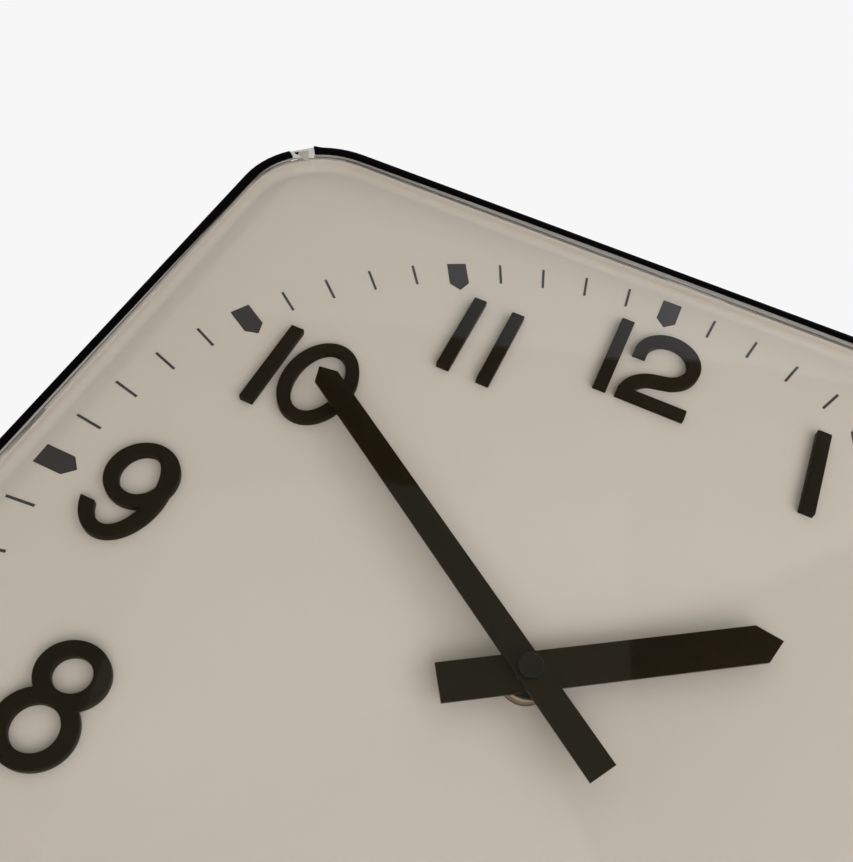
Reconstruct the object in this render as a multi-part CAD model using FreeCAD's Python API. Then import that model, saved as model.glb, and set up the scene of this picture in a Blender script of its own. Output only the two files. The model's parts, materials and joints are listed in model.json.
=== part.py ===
"""Square battery wall clock with a domed glass, raised numerals and a geared quartz movement.

Millimetres. X points right and Z up as the dial is read, and the dial faces -Y.
The wall is the plane Y = 0, and the origin is the seat of the nail in the hanger plate.
A depth is counted from the wall towards the reader, so depth d lies at Y = -d.
Every piece is built with the hands' axis on X = 0, Z = 0 and moved down when it is saved.
"""
import FreeCAD, Part
import math
import os

Vector = FreeCAD.Vector

# Case, seen from the front
CASE_SIDE = 300.0
CORNER_RADIUS = 30.0
FOOT_INSET = 16.0
TRAY_DEPTH = 24.8
CASE_WALL = 2.0
CASE_FLANGE = 2.0
PANEL_THICKNESS = 2.0
PANEL_RECESS = 3.0
REAR_RIM_WIDTH = 3.0
WINDOW_MARGIN = 3.0
WINDOW_RIB_WIDTH = 2.0
WINDOW_RIB_HEIGHT = 3.0

# Edge trim, a folded strip round the front whose ends meet at the top left corner
TRIM_THICKNESS = 1.0
TRIM_LIP_CORNER = 3.2
TRIM_LIP_MIDDLE = 2.2
TRIM_CLEARANCE = 0.1
TRIM_GAP_START_DEGREES = 124.7
TRIM_GAP_END_DEGREES = 141.6
TAB_START_DEGREES = 128.6
TAB_END_DEGREES = 137.4
TAB_REACH = 5.4
TAB_THICKNESS = 0.6
TAB_LIFT = 0.25

# Glass
GLASS_THICKNESS = 2.5
DOME_RISE = 9.0
DOME_CLEARANCE = 0.6

# Dial plate with its turned-up rim
DIAL_THICKNESS = 1.2
DIAL_RIM_HEIGHT = 4.0
DIAL_RIM_WIDTH = 1.6
DIAL_RIM_FILLET = 2.5

# Printed track
TRACK_EDGE_GAP = 7.3
TICK_LENGTH = 8.5
TICK_WIDTH = 0.8
MARKER_LENGTH = 12.0
MARKER_POINT = 3.0
MARKER_WIDTH = 6.35
PRINT_THICKNESS = 0.12
MINUTES = 60
HOURS = 12

# Raised numerals
NUMERAL_HEIGHT = 31.0
NUMERAL_THICKNESS = 2.4
BAR_WIDTH = 4.3
STROKE_SIDE = 4.3
STROKE_END = 3.8
TEN_GAP = 2.3
TWELVE_GAP = 2.7
ELEVEN_SPACING = 13.2

# Half widths and places inside a digit, as shares of its height
ZERO_HALF_WIDTH_SHARE = 0.357
EIGHT_TOP_HALF_WIDTH_SHARE = 0.300
EIGHT_FOOT_HALF_WIDTH_SHARE = 0.331
EIGHT_WAIST_SHARE = 0.096
EIGHT_MIDDLE_STROKE_SHARE = 0.119
THREE_OPEN_TOP_SHARE = 0.28
THREE_OPEN_FOOT_SHARE = -0.30
THREE_ARM_SHARE = -0.10
NINE_BOWL_HALF_WIDTH_SHARE = 0.327
NINE_BOWL_HALF_HEIGHT_SHARE = 0.329
NINE_STEM_HALF_WIDTH_SHARE = 0.350
NINE_CUT_SHARE = -0.225
TWO_HEAD_RADIUS_SHARE = 0.280
TWO_FOOT_RADIUS_SHARE = 0.308
TWO_HEAD_X_SHARE = 0.010
TWO_FOOT_X_SHARE = 0.026
TWO_FOOT_RISE_SHARE = 0.048
TWO_TERMINAL_SHARE = 0.115
TWO_HALF_WIDTH_SHARE = 0.354
FOUR_HALF_WIDTH_SHARE = 0.350
FOUR_STEM_SHARE = 0.170
FOUR_BEAM_SHARE = -0.210
FIVE_HALF_WIDTH_SHARE = 0.331
FIVE_BOWL_HALF_HEIGHT_SHARE = 0.320
FIVE_STEM_SHARE = -0.215
FIVE_CUT_SHARE = -0.31
FIVE_STEM_FOOT_SHARE = 0.25
SEVEN_HALF_WIDTH_SHARE = 0.330
SEVEN_FOOT_SHARE = -0.130

# Centres of the numerals, as shares of the track's outer radius
NUMERAL_PLACE_SHARES = {
    1: (0.393, 0.672), 2: (0.674, 0.380), 3: (0.797, 0.004), 4: (0.674, -0.380),
    5: (0.391, -0.672), 6: (0.0, -0.774), 7: (-0.391, -0.672), 8: (-0.674, -0.380),
    9: (-0.797, 0.004), 10: (-0.635, 0.394), 11: (-0.3545, 0.666), 12: (0.008, 0.774),
}

# Hands, their bushes, the cap and the nut
HAND_THICKNESS = 0.8
MINUTE_TIP_TO_TRACK = 38.3
MINUTE_POINT = 4.2
MINUTE_TAIL = 28.3
MINUTE_WIDTH = 7.5
MINUTE_HAND_DEGREES = -56.85
HOUR_TIP = 67.1
HOUR_POINT = 5.8
HOUR_TAIL = 21.9
HOUR_WIDTH = 9.85
HOUR_HAND_DEGREES = 57.0
BUSH_FLANGE_HEIGHT = 0.8
BUSH_WALL = 0.6
MINUTE_FLANGE_WIDTH = 1.0
HOUR_FLANGE_WIDTH = 1.2
HOUR_HAND_CLEARANCE = 0.3
MINUTE_HAND_CLEARANCE = 1.3
CAP_RADIUS = 3.15
CAP_HEIGHT = 2.0
CAP_ROUNDING = 0.3
CAP_BORE_DEPTH = 1.0
NUT_RADIUS = 6.6
NUT_HEIGHT = 2.7
NUT_ROUNDING = 0.6
DIAL_WASHER_RADIUS = 6.7
DIAL_WASHER_THICKNESS = 0.5
THREAD_STANDOUT = 0.3
RUBBER_RADIUS = 9.0
RUBBER_THICKNESS = 0.8

# Clearances of the movement
RUNNING_CLEARANCE = 0.05
SEAT_CLEARANCE = 0.02
HOLE_CLEARANCE = 0.1

# Movement housing
HOUSING_WALL = 1.5
MIDDLE_PLATE = 1.0
PIVOT_DEPTH = 0.5
PARTITION = 1.0
PARTITION_CLEARANCE = 1.0
TRAIN_SPACE = 6.5
TRAIN_CLEARANCE = 0.4
MOTION_SPACE = 5.5

# Battery and its contacts
BATTERY_RADIUS = 7.0
BATTERY_BODY = 49.2
BATTERY_NUB = 1.3
BATTERY_NUB_RADIUS = 2.75
BATTERY_CLEARANCE = 0.25
CONTACT_THICKNESS = 0.3
CONTACT_HEIGHT = 9.0
SPRING_LENGTH = 1.9
SPRING_BASE_RADIUS = 3.2
SPRING_TIP_RADIUS = 1.6

# Arbors and wheels
MINUTE_ARBOR_RADIUS = 1.75
HOUR_TUBE_WALL = 0.75
THREAD_WALL = 1.4
ARBOR_RADIUS = 0.5
PIVOT_RADIUS = 0.35
KNOB_SHAFT_RADIUS = 1.5
KNOB_RADIUS = 5.5
KNOB_THICKNESS = 3.4
KNOB_GAP = 0.6
KNOB_EDGE = 2.3
KNOB_GROOVES = 20
KNOB_GROOVE_DEPTH = 0.5
KNOB_RIDGE_SHARE = 0.5
KNOB_SLOPE_SHARE = 0.1
HUB_WALL = 0.8
WHEEL_THICKNESS = 0.7
LAYER_GAP = 0.45
MOTION_WHEEL_THICKNESS = 1.0
MOTION_GAP = 0.4
PINION_OVERLAP = 0.2
HOUR_TUBE_STANDOUT = 0.8
CENTRE_MODULE = 0.3
THIRD_MODULE = 0.25
SECONDS_MODULE = 0.25
ROTOR_MODULE = 0.2
MOTION_MODULE = 0.5
CENTRE_TEETH = 64
THIRD_TEETH = 60
SECONDS_TEETH = 40
INTERMEDIATE_TEETH = 48
SMALL_PINION_TEETH = 8
CANNON_TEETH = 12
MINUTE_WORK_TEETH = 36
MINUTE_WORK_PINION_TEETH = 10
HOUR_TEETH = 40
KNOB_TEETH = 12
TOOTH_TIP_SHARE = 0.85
TOOTH_ROOT_SHARE = 1.15
TOOTH_TIP_WIDTH_SHARE = 0.20
TOOTH_ROOT_WIDTH_SHARE = 0.48
THIRD_DEGREES = 35.0
SECONDS_DEGREES = 60.0
INTERMEDIATE_DEGREES = 30.0
ROTOR_DEGREES = -61.0
MINUTE_WORK_DEGREES = 125.0
KNOB_DEGREES = 60.0

# Motor
MAGNET_RADIUS = 2.5
MAGNET_LENGTH = 2.6
STATOR_GAP = 0.4
STATOR_THICKNESS = 0.6
STATOR_MARGIN = 1.2
STATOR_LEG = 1.2
STATOR_FOOT = 2.4
CORE_WIDTH = 1.6
BOBBIN_RADIUS = 2.9
BOBBIN_TUBE_WALL = 0.5
BOBBIN_FLANGE = 0.8
WINDING_CLEARANCE = 0.3
POST_RADIUS = 0.6

# Circuit board
BOARD_WIDTH = 13.5
BOARD_HEIGHT = 24.0
BOARD_THICKNESS = 1.0
BOARD_LIFT = 2.0
BOARD_MARGIN = 0.8
CHIP_SIDE = 5.0
CHIP_THICKNESS = 1.0
CRYSTAL_RADIUS = 1.0
CRYSTAL_LENGTH = 6.0

# Hanger, its screws and the wall bumpers
HANGER_EDGE_GAP = 19.0
HANGER_WIDTH = 46.0
HANGER_HEIGHT = 28.0
HANGER_THICKNESS = 1.0
HANGER_TOP_MARGIN = 7.0
HANGER_CORNER = 3.0
NAIL_SLOT_RADIUS = 2.5
NAIL_ENTRY_RADIUS = 5.0
NAIL_DROP = 11.0
NAIL_POCKET_MARGIN = 2.0
HANGER_SCREW_SPACING = 34.0
SCREW_RADIUS = 1.25
SCREW_HEAD_RADIUS = 2.6
SCREW_HEAD_HEIGHT = 1.2
SCREW_LENGTH = 6.0
SCREW_SLOT_SHARE = 0.25
BOSS_WALL = 1.6
BUMPER_RADIUS = 6.0
BUMPER_INSET = 12.0

# How far cuts run past a face, and into how many parts a curved stroke's sector is split
OVERRUN = 1.0
FAN_PARTS = 4

# Outlines seen from the front
CASE_HALF = CASE_SIDE / 2
CORNER_CENTRE = CASE_HALF - CORNER_RADIUS
STACK_HALF = CASE_HALF - TRIM_THICKNESS - TRIM_CLEARANCE
FOOT_HALF = CASE_HALF - FOOT_INSET
NECK_HALF = CASE_HALF - TRIM_LIP_CORNER - DOME_CLEARANCE
TRACK_RADIUS = CASE_HALF - TRACK_EDGE_GAP
MINUTE_TIP = TRACK_RADIUS - MINUTE_TIP_TO_TRACK
HANGER_RISE = FOOT_HALF - REAR_RIM_WIDTH - HANGER_EDGE_GAP - HANGER_TOP_MARGIN

# Depths, from the wall to the front
PANEL_FRONT = PANEL_RECESS + PANEL_THICKNESS
FLANGE_BACK = TRAY_DEPTH - CASE_FLANGE
TRIM_BACK = FLANGE_BACK - TRIM_THICKNESS
DIAL_FRONT = TRAY_DEPTH + DIAL_THICKNESS
GLASS_BACK = DIAL_FRONT + DIAL_RIM_HEIGHT
GLASS_FRONT = GLASS_BACK + GLASS_THICKNESS
TRIM_FRONT = GLASS_FRONT + TRIM_THICKNESS
PRINT_FRONT = DIAL_FRONT + PRINT_THICKNESS
NUMERAL_FRONT = DIAL_FRONT + NUMERAL_THICKNESS

# Depths of the movement, which hangs behind the dial
HOUSING_FRONT = TRAY_DEPTH - RUBBER_THICKNESS
MOTION_FRONT = HOUSING_FRONT - HOUSING_WALL
MOTION_BACK = MOTION_FRONT - MOTION_SPACE
TRAIN_FRONT = MOTION_BACK - MIDDLE_PLATE
TRAIN_BACK = TRAIN_FRONT - TRAIN_SPACE
HOUSING_BACK = TRAIN_BACK - HOUSING_WALL

# Depths along the hands' axis
WASHER_FRONT = DIAL_FRONT + DIAL_WASHER_THICKNESS
NUT_FRONT = WASHER_FRONT + NUT_HEIGHT
THREAD_FRONT = NUT_FRONT + THREAD_STANDOUT
HOUR_BUSH_BACK = THREAD_FRONT + HOUR_HAND_CLEARANCE
HOUR_HAND_BACK = HOUR_BUSH_BACK + BUSH_FLANGE_HEIGHT
HOUR_HAND_FRONT = HOUR_HAND_BACK + HAND_THICKNESS
HOUR_TUBE_FRONT = HOUR_HAND_FRONT + HOUR_TUBE_STANDOUT
MINUTE_BUSH_BACK = HOUR_HAND_FRONT + MINUTE_HAND_CLEARANCE
MINUTE_HAND_BACK = MINUTE_BUSH_BACK + BUSH_FLANGE_HEIGHT
MINUTE_HAND_FRONT = MINUTE_HAND_BACK + HAND_THICKNESS
CAP_FRONT = MINUTE_HAND_FRONT + CAP_HEIGHT

# Radii along the hands' axis
HOUR_BORE = MINUTE_ARBOR_RADIUS + RUNNING_CLEARANCE
HOUR_TUBE_RADIUS = HOUR_BORE + HOUR_TUBE_WALL
THREAD_BORE = HOUR_TUBE_RADIUS + RUNNING_CLEARANCE
THREAD_RADIUS = THREAD_BORE + THREAD_WALL
MINUTE_NECK = MINUTE_ARBOR_RADIUS + SEAT_CLEARANCE + BUSH_WALL
HOUR_NECK = HOUR_TUBE_RADIUS + SEAT_CLEARANCE + BUSH_WALL

# Layers of the train, from the back plate to the middle plate
LAYER_STEP = WHEEL_THICKNESS + LAYER_GAP
ROTOR_LAYER = TRAIN_BACK + TRAIN_CLEARANCE
SECONDS_LAYER = ROTOR_LAYER + LAYER_STEP
THIRD_LAYER = SECONDS_LAYER + LAYER_STEP
CENTRE_LAYER = THIRD_LAYER + LAYER_STEP
CANNON_LAYER = MOTION_BACK + MOTION_GAP
HOUR_LAYER = CANNON_LAYER + MOTION_WHEEL_THICKNESS + MOTION_GAP


def pitch_radius(teeth, module):
    """Radius at which two meshing wheels roll on each other."""
    return teeth * module / 2


def tip_radius(teeth, module):
    """Radius over the tops of the teeth."""
    return pitch_radius(teeth, module) + TOOTH_TIP_SHARE * module


def step_from(place, distance, degrees):
    """The place at a distance from another, turned anticlockwise from the right."""
    angle = math.radians(degrees)
    return place[0] + distance * math.cos(angle), place[1] + distance * math.sin(angle)


# Places of the arbors, each worked out from the wheels that mesh
CENTRE = (0.0, 0.0)
THIRD_DISTANCE = pitch_radius(CENTRE_TEETH + SMALL_PINION_TEETH, CENTRE_MODULE)
SECONDS_DISTANCE = pitch_radius(THIRD_TEETH + SMALL_PINION_TEETH, THIRD_MODULE)
INTERMEDIATE_DISTANCE = pitch_radius(SECONDS_TEETH + SMALL_PINION_TEETH, SECONDS_MODULE)
ROTOR_DISTANCE = pitch_radius(INTERMEDIATE_TEETH + SMALL_PINION_TEETH, ROTOR_MODULE)
MINUTE_WORK_DISTANCE = pitch_radius(CANNON_TEETH + MINUTE_WORK_TEETH, MOTION_MODULE)
KNOB_DISTANCE = pitch_radius(MINUTE_WORK_TEETH + KNOB_TEETH, MOTION_MODULE)
HOUR_WHEEL_MODULE = 2 * MINUTE_WORK_DISTANCE / (MINUTE_WORK_PINION_TEETH + HOUR_TEETH)
THIRD = step_from(CENTRE, THIRD_DISTANCE, THIRD_DEGREES)
SECONDS = step_from(THIRD, SECONDS_DISTANCE, SECONDS_DEGREES)
INTERMEDIATE = step_from(SECONDS, INTERMEDIATE_DISTANCE, INTERMEDIATE_DEGREES)
ROTOR = step_from(INTERMEDIATE, ROTOR_DISTANCE, ROTOR_DEGREES)
MINUTE_WORK = step_from(CENTRE, MINUTE_WORK_DISTANCE, MINUTE_WORK_DEGREES)
KNOB = step_from(MINUTE_WORK, KNOB_DISTANCE, KNOB_DEGREES)


def cylinder(radius, back, front, place=CENTRE):
    """A round bar along the depth, between two depths."""
    return Part.makeCylinder(radius, front - back, Vector(place[0], -back, place[1]), Vector(0, -1, 0))


def ring(outer, inner, back, front, place=CENTRE):
    """A round tube along the depth."""
    return cylinder(outer, back, front, place).cut(cylinder(inner, back - OVERRUN, front + OVERRUN, place))


def block(left, right, low, high, back, front):
    """A box between two depths."""
    return Part.makeBox(right - left, front - back, high - low, Vector(left, -front, low))


def prism(outline, back, front):
    """A straight solid whose outline is a list of points seen from the front."""
    points = [Vector(x, -back, z) for x, z in outline]
    face = Part.Face(Part.makePolygon(points + points[:1]))
    return face.extrude(Vector(0, back - front, 0))


def oval(half_width, half_height, back, front, place=CENTRE):
    """A straight solid with an elliptical outline."""
    centre = Vector(place[0], -back, place[1])
    side = centre + Vector(half_width, 0, 0)
    top = centre + Vector(0, 0, half_height)
    ends = (side, top) if half_width >= half_height else (top, side)
    face = Part.Face(Part.Wire(Part.Ellipse(ends[0], ends[1], centre).toShape()))
    return face.extrude(Vector(0, back - front, 0))


def united(shapes):
    """Several shapes fused, with the seams between level faces removed."""
    return shapes[0].multiFuse(shapes[1:]).removeSplitter()


def square_wire(half, depth, bow=0.0):
    """A rounded square about the corners' common centres, its sides bowed outwards by the given height."""
    centre = CORNER_CENTRE
    radius = half - centre
    slant = radius * math.sqrt(0.5)
    edges = []
    for turn in range(4):
        across = ((1, 0), (0, 1), (-1, 0), (0, -1))[turn]
        along = (-across[1], across[0])

        def spot(out, side):
            """A point out from the middle towards this side, and along it."""
            return Vector(across[0] * out + along[0] * side, -depth, across[1] * out + along[1] * side)

        if bow:
            edges.append(Part.Arc(spot(half, -centre), spot(half + bow, 0), spot(half, centre)).toShape())
        else:
            edges.append(Part.LineSegment(spot(half, -centre), spot(half, centre)).toShape())
        middle = spot(centre + slant, centre + slant)
        edges.append(Part.Arc(spot(half, centre), middle, spot(centre, half)).toShape())
    return Part.Wire(edges)


def square_plate(half, back, front, bow=0.0):
    """A rounded square plate between two depths."""
    return Part.Face(square_wire(half, back, bow)).extrude(Vector(0, back - front, 0))


def tapered_block(back_half, front_half, back, front):
    """A rounded square block that widens from its back to its front."""
    return Part.makeLoft([square_wire(back_half, back), square_wire(front_half, front)], True, True)


def turned(shape, degrees):
    """A copy turned clockwise on the dial about the hands' axis."""
    copy = shape.copy()
    copy.rotate(Vector(0, 0, 0), Vector(0, 1, 0), degrees)
    return copy


def moved(shape, place):
    """A copy moved across the dial."""
    copy = shape.copy()
    copy.translate(Vector(place[0], 0, place[1]))
    return copy


def wedge(start, end, reach):
    """The corners of a wedge from a corner's centre, between two angles."""
    centre = (-CORNER_CENTRE, CORNER_CENTRE)
    return [centre, step_from(centre, reach, start), step_from(centre, reach, end)]


def edge_trim():
    """A channel folded round the front, open where its ends meet."""
    inner = CASE_HALF - TRIM_LIP_CORNER
    bow = TRIM_LIP_CORNER - TRIM_LIP_MIDDLE
    channel = square_plate(CASE_HALF - TRIM_THICKNESS, FLANGE_BACK, GLASS_FRONT)
    mouth = square_plate(inner, TRIM_BACK - OVERRUN, TRIM_FRONT + OVERRUN, bow)
    band = square_plate(CASE_HALF, TRIM_BACK, TRIM_FRONT).cut(channel).cut(mouth)
    gap = wedge(TRIM_GAP_START_DEGREES, TRIM_GAP_END_DEGREES, 2 * CORNER_RADIUS)
    return band.cut(prism(gap, TRIM_BACK - OVERRUN, TRIM_FRONT + OVERRUN))


def trim_tab():
    """The clip that bridges the ends of the trim, over the glass and down its edge."""
    centre = (-CORNER_CENTRE, CORNER_CENTRE)
    edge = STACK_HALF - CORNER_CENTRE
    sector = wedge(TAB_START_DEGREES, TAB_END_DEGREES, 2 * CORNER_RADIUS)
    back = GLASS_FRONT + TAB_LIFT
    top = ring(edge + TAB_THICKNESS, edge - TAB_REACH, back, back + TAB_THICKNESS, centre)
    leg = ring(edge + TAB_THICKNESS, edge, DIAL_FRONT, back, centre)
    return united([top, leg]).common(prism(sector, DIAL_FRONT, back + TAB_THICKNESS))


def glass_cover():
    """A flat border that the trim holds, with the domed middle rising inside the trim's lip.

    The sheet's middle pole stands four times as far out as the sheet itself.
    """
    bow = TRIM_LIP_CORNER - TRIM_LIP_MIDDLE
    surface = Part.BezierSurface()
    surface.increase(2, 2)
    reach = NECK_HALF + bow
    for column in range(3):
        for row in range(3):
            lift = 4 * DOME_RISE if column == 1 and row == 1 else 0.0
            pole = Vector((column - 1) * reach, -(GLASS_BACK + lift), (row - 1) * reach)
            surface.setPole(column + 1, row + 1, pole)
    sheet = surface.toShape().extrude(Vector(0, -GLASS_THICKNESS, 0))
    border = square_plate(STACK_HALF, GLASS_BACK, GLASS_FRONT)
    border = border.cut(square_plate(NECK_HALF, GLASS_BACK - OVERRUN, GLASS_FRONT + OVERRUN, bow))
    dome = sheet.common(square_plate(NECK_HALF, GLASS_BACK, GLASS_FRONT + 2 * DOME_RISE, bow))
    return border.fuse(dome)


def dial_plate():
    """A flat dial with a rim turned up round its edge and a hole for the threaded bush."""
    inner = STACK_HALF - DIAL_RIM_WIDTH
    tray = square_plate(STACK_HALF, TRAY_DEPTH, GLASS_BACK)
    hollow = square_plate(inner, DIAL_FRONT, GLASS_BACK + OVERRUN)
    floor = [edge for edge in hollow.Edges if abs(edge.BoundBox.YMin + DIAL_FRONT) < SEAT_CLEARANCE
             and edge.BoundBox.YLength < SEAT_CLEARANCE]
    hollow = hollow.makeFillet(DIAL_RIM_FILLET, floor)
    hole = cylinder(THREAD_RADIUS + HOLE_CLEARANCE, TRAY_DEPTH - OVERRUN, DIAL_FRONT + OVERRUN)
    return tray.cut(hollow).cut(hole)


def minute_ticks():
    """The thin printed strokes between the hour markers."""
    half = TICK_WIDTH / 2
    tick = block(-half, half, TRACK_RADIUS - TICK_LENGTH, TRACK_RADIUS, DIAL_FRONT, PRINT_FRONT)
    minutes = [minute for minute in range(MINUTES) if minute % (MINUTES // HOURS)]
    return Part.makeCompound([turned(tick, 360 * minute / MINUTES) for minute in minutes])


def hour_markers():
    """The printed five-sided markers that point inwards at the hours."""
    half = MARKER_WIDTH / 2
    tip = TRACK_RADIUS - MARKER_LENGTH
    outline = [(-half, TRACK_RADIUS), (-half, tip + MARKER_POINT), (0, tip), (half, tip + MARKER_POINT),
               (half, TRACK_RADIUS)]
    marker = prism(outline, DIAL_FRONT, PRINT_FRONT)
    return Part.makeCompound([turned(marker, 360 * hour / HOURS) for hour in range(HOURS)])


def letter_block(left, right, low, high):
    """An upright slab of a numeral."""
    return block(left, right, low, high, DIAL_FRONT, NUMERAL_FRONT)


def letter_prism(outline):
    """A slab of a numeral with slanting sides."""
    return prism(outline, DIAL_FRONT, NUMERAL_FRONT)


def letter_oval(half_width, half_height, place=CENTRE):
    """A full oval of a numeral's thickness."""
    return oval(half_width, half_height, DIAL_FRONT, NUMERAL_FRONT, place)


def letter_arc(radius, start, end, centre):
    """A curved stroke about a centre, between two angles counted anticlockwise from the right."""
    half = STROKE_SIDE / 2
    reach = 2 * radius + STROKE_SIDE
    stroke = ring(radius + half, radius - half, DIAL_FRONT, NUMERAL_FRONT, centre)
    sweep = end - start
    turns = [start + sweep * part / FAN_PARTS for part in range(FAN_PARTS + 1)]
    fan = [centre] + [step_from(centre, reach, degrees) for degrees in turns]
    return stroke.common(letter_prism(fan))


def digit_one():
    """A plain upright bar."""
    return letter_block(-BAR_WIDTH / 2, BAR_WIDTH / 2, -NUMERAL_HEIGHT / 2, NUMERAL_HEIGHT / 2)


def digit_zero():
    """A tall oval ring."""
    width, height = ZERO_HALF_WIDTH_SHARE * NUMERAL_HEIGHT, NUMERAL_HEIGHT / 2
    return letter_oval(width, height).cut(letter_oval(width - STROKE_SIDE, height - STROKE_END))


def digit_two():
    """A round head, a straight slant and a curve that runs down into a flat foot."""
    head_radius = TWO_HEAD_RADIUS_SHARE * NUMERAL_HEIGHT
    foot_radius = TWO_FOOT_RADIUS_SHARE * NUMERAL_HEIGHT
    half = STROKE_SIDE / 2
    head = (TWO_HEAD_X_SHARE * NUMERAL_HEIGHT, NUMERAL_HEIGHT / 2 - head_radius - half)
    foot = (TWO_FOOT_X_SHARE * NUMERAL_HEIGHT, TWO_FOOT_RISE_SHARE * NUMERAL_HEIGHT - NUMERAL_HEIGHT / 2)
    apart = math.hypot(foot[0] - head[0], foot[1] - head[1])
    slope = math.atan2(foot[1] - head[1], foot[0] - head[0])
    leave = math.degrees(slope + math.acos((head_radius + foot_radius) / apart))
    join = leave + 180
    slant = [step_from(head, head_radius + half, leave), step_from(head, head_radius - half, leave),
             step_from(foot, foot_radius + half, join), step_from(foot, foot_radius - half, join)]
    terminal = head[1] - TWO_TERMINAL_SHARE * NUMERAL_HEIGHT / 2
    left = head[0] - head_radius - half
    base = foot[0] - foot_radius - half
    floor = -NUMERAL_HEIGHT / 2
    right = TWO_HALF_WIDTH_SHARE * NUMERAL_HEIGHT
    return united([
        letter_arc(head_radius, leave, 180, head),
        letter_block(left, left + STROKE_SIDE, terminal, head[1]),
        letter_prism(slant),
        letter_arc(foot_radius, join, 180, foot),
        letter_block(base, base + STROKE_SIDE, floor, foot[1]),
        letter_block(base, right, floor, floor + STROKE_END),
    ])


def eight_rings():
    """The outer and inner ovals of the upper and the lower loop of an eight."""
    middle = EIGHT_MIDDLE_STROKE_SHARE * NUMERAL_HEIGHT
    waist = EIGHT_WAIST_SHARE * NUMERAL_HEIGHT
    top = (NUMERAL_HEIGHT / 2 - STROKE_END - waist) / 2
    foot = (NUMERAL_HEIGHT / 2 - STROKE_END + waist - middle) / 2
    top_width = EIGHT_TOP_HALF_WIDTH_SHARE * NUMERAL_HEIGHT
    foot_width = EIGHT_FOOT_HALF_WIDTH_SHARE * NUMERAL_HEIGHT
    top_place = (0, waist + top)
    foot_place = (0, waist - middle - foot)
    outer = letter_oval(top_width, top + STROKE_END, top_place)
    outer = outer.fuse(letter_oval(foot_width, foot + STROKE_END, foot_place))
    inner = letter_oval(top_width - STROKE_SIDE, top, top_place)
    inner = inner.fuse(letter_oval(foot_width - STROKE_SIDE, foot, foot_place))
    return outer, inner


def digit_eight():
    """Two oval loops that run into each other at the waist."""
    outer, inner = eight_rings()
    return outer.cut(inner).removeSplitter()


def digit_three():
    """The right side of an eight, with a short arm at the waist and level cuts at both ends."""
    outer, inner = eight_rings()
    height = NUMERAL_HEIGHT
    opening = letter_block(-height, 0, THREE_OPEN_FOOT_SHARE * height, THREE_OPEN_TOP_SHARE * height)
    arm = letter_block(THREE_ARM_SHARE * height, height, -height, height)
    return outer.cut(inner).cut(opening.cut(arm)).removeSplitter()


def digit_four():
    """A slanting stroke, a beam and an upright stem."""
    top, side = NUMERAL_HEIGHT / 2, FOUR_HALF_WIDTH_SHARE * NUMERAL_HEIGHT
    beam = FOUR_BEAM_SHARE * NUMERAL_HEIGHT
    stem = FOUR_STEM_SHARE * NUMERAL_HEIGHT
    half = STROKE_SIDE / 2
    slant = [(-side, beam), (-side, beam - STROKE_END), (stem, beam - STROKE_END), (stem, beam),
             (STROKE_SIDE - side, beam), (stem, top - STROKE_SIDE), (stem, top), (stem - half, top)]
    return united([
        letter_prism(slant),
        letter_block(stem - half, stem + half, -top, top),
        letter_block(stem, side, beam - STROKE_END, beam),
    ])


def digit_five():
    """A level top, a short stem and an open bowl."""
    top, side = NUMERAL_HEIGHT / 2, FIVE_HALF_WIDTH_SHARE * NUMERAL_HEIGHT
    bowl = FIVE_BOWL_HALF_HEIGHT_SHARE * NUMERAL_HEIGHT
    stem = FIVE_STEM_SHARE * NUMERAL_HEIGHT
    half = STROKE_SIDE / 2
    centre = (0, bowl - top)
    loop = letter_oval(side, bowl, centre).cut(letter_oval(side - STROKE_SIDE, bowl - STROKE_END, centre))
    loop = loop.cut(letter_block(-NUMERAL_HEIGHT, stem, FIVE_CUT_SHARE * NUMERAL_HEIGHT, top))
    return united([
        loop,
        letter_block(stem - half, stem + half, centre[1] + FIVE_STEM_FOOT_SHARE * bowl, top),
        letter_block(stem - half, side - half, top - STROKE_END, top),
    ])


def digit_seven():
    """A level top with a long slanting stroke."""
    top, side = NUMERAL_HEIGHT / 2, SEVEN_HALF_WIDTH_SHARE * NUMERAL_HEIGHT
    foot = SEVEN_FOOT_SHARE * NUMERAL_HEIGHT
    half = STROKE_SIDE / 2
    slant = [(side, top), (side - STROKE_SIDE, top), (foot - half, -top), (foot + half, -top)]
    return united([letter_block(-side, side, top - STROKE_END, top), letter_prism(slant)])


def digit_nine():
    """A round bowl over a stem that curves into a hook with a level cut."""
    height = NUMERAL_HEIGHT / 2
    bowl_width = NINE_BOWL_HALF_WIDTH_SHARE * NUMERAL_HEIGHT
    bowl_height = NINE_BOWL_HALF_HEIGHT_SHARE * NUMERAL_HEIGHT
    centre = (0, height - bowl_height)
    bowl = letter_oval(bowl_width, bowl_height, centre)
    hollow = letter_oval(bowl_width - STROKE_SIDE, bowl_height - STROKE_END, centre)
    stem_width = NINE_STEM_HALF_WIDTH_SHARE * NUMERAL_HEIGHT
    stem_place = (bowl_width - stem_width, 0)
    stem = letter_oval(stem_width, height, stem_place)
    stem = stem.cut(letter_oval(stem_width - STROKE_SIDE, height - STROKE_END, stem_place))
    gone = letter_block(-2 * stem_width, stem_place[0], NINE_CUT_SHARE * NUMERAL_HEIGHT, height)
    return bowl.cut(hollow).fuse(stem.cut(gone)).removeSplitter()


def digit_six():
    """A nine turned upside down."""
    return turned(digit_nine(), 180)


def numeral(hour, digit, across=0.0):
    """A digit set down at its hour, moved sideways within a pair."""
    share_x, share_z = NUMERAL_PLACE_SHARES[hour]
    return moved(digit, (share_x * TRACK_RADIUS + across, share_z * TRACK_RADIUS))


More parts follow.
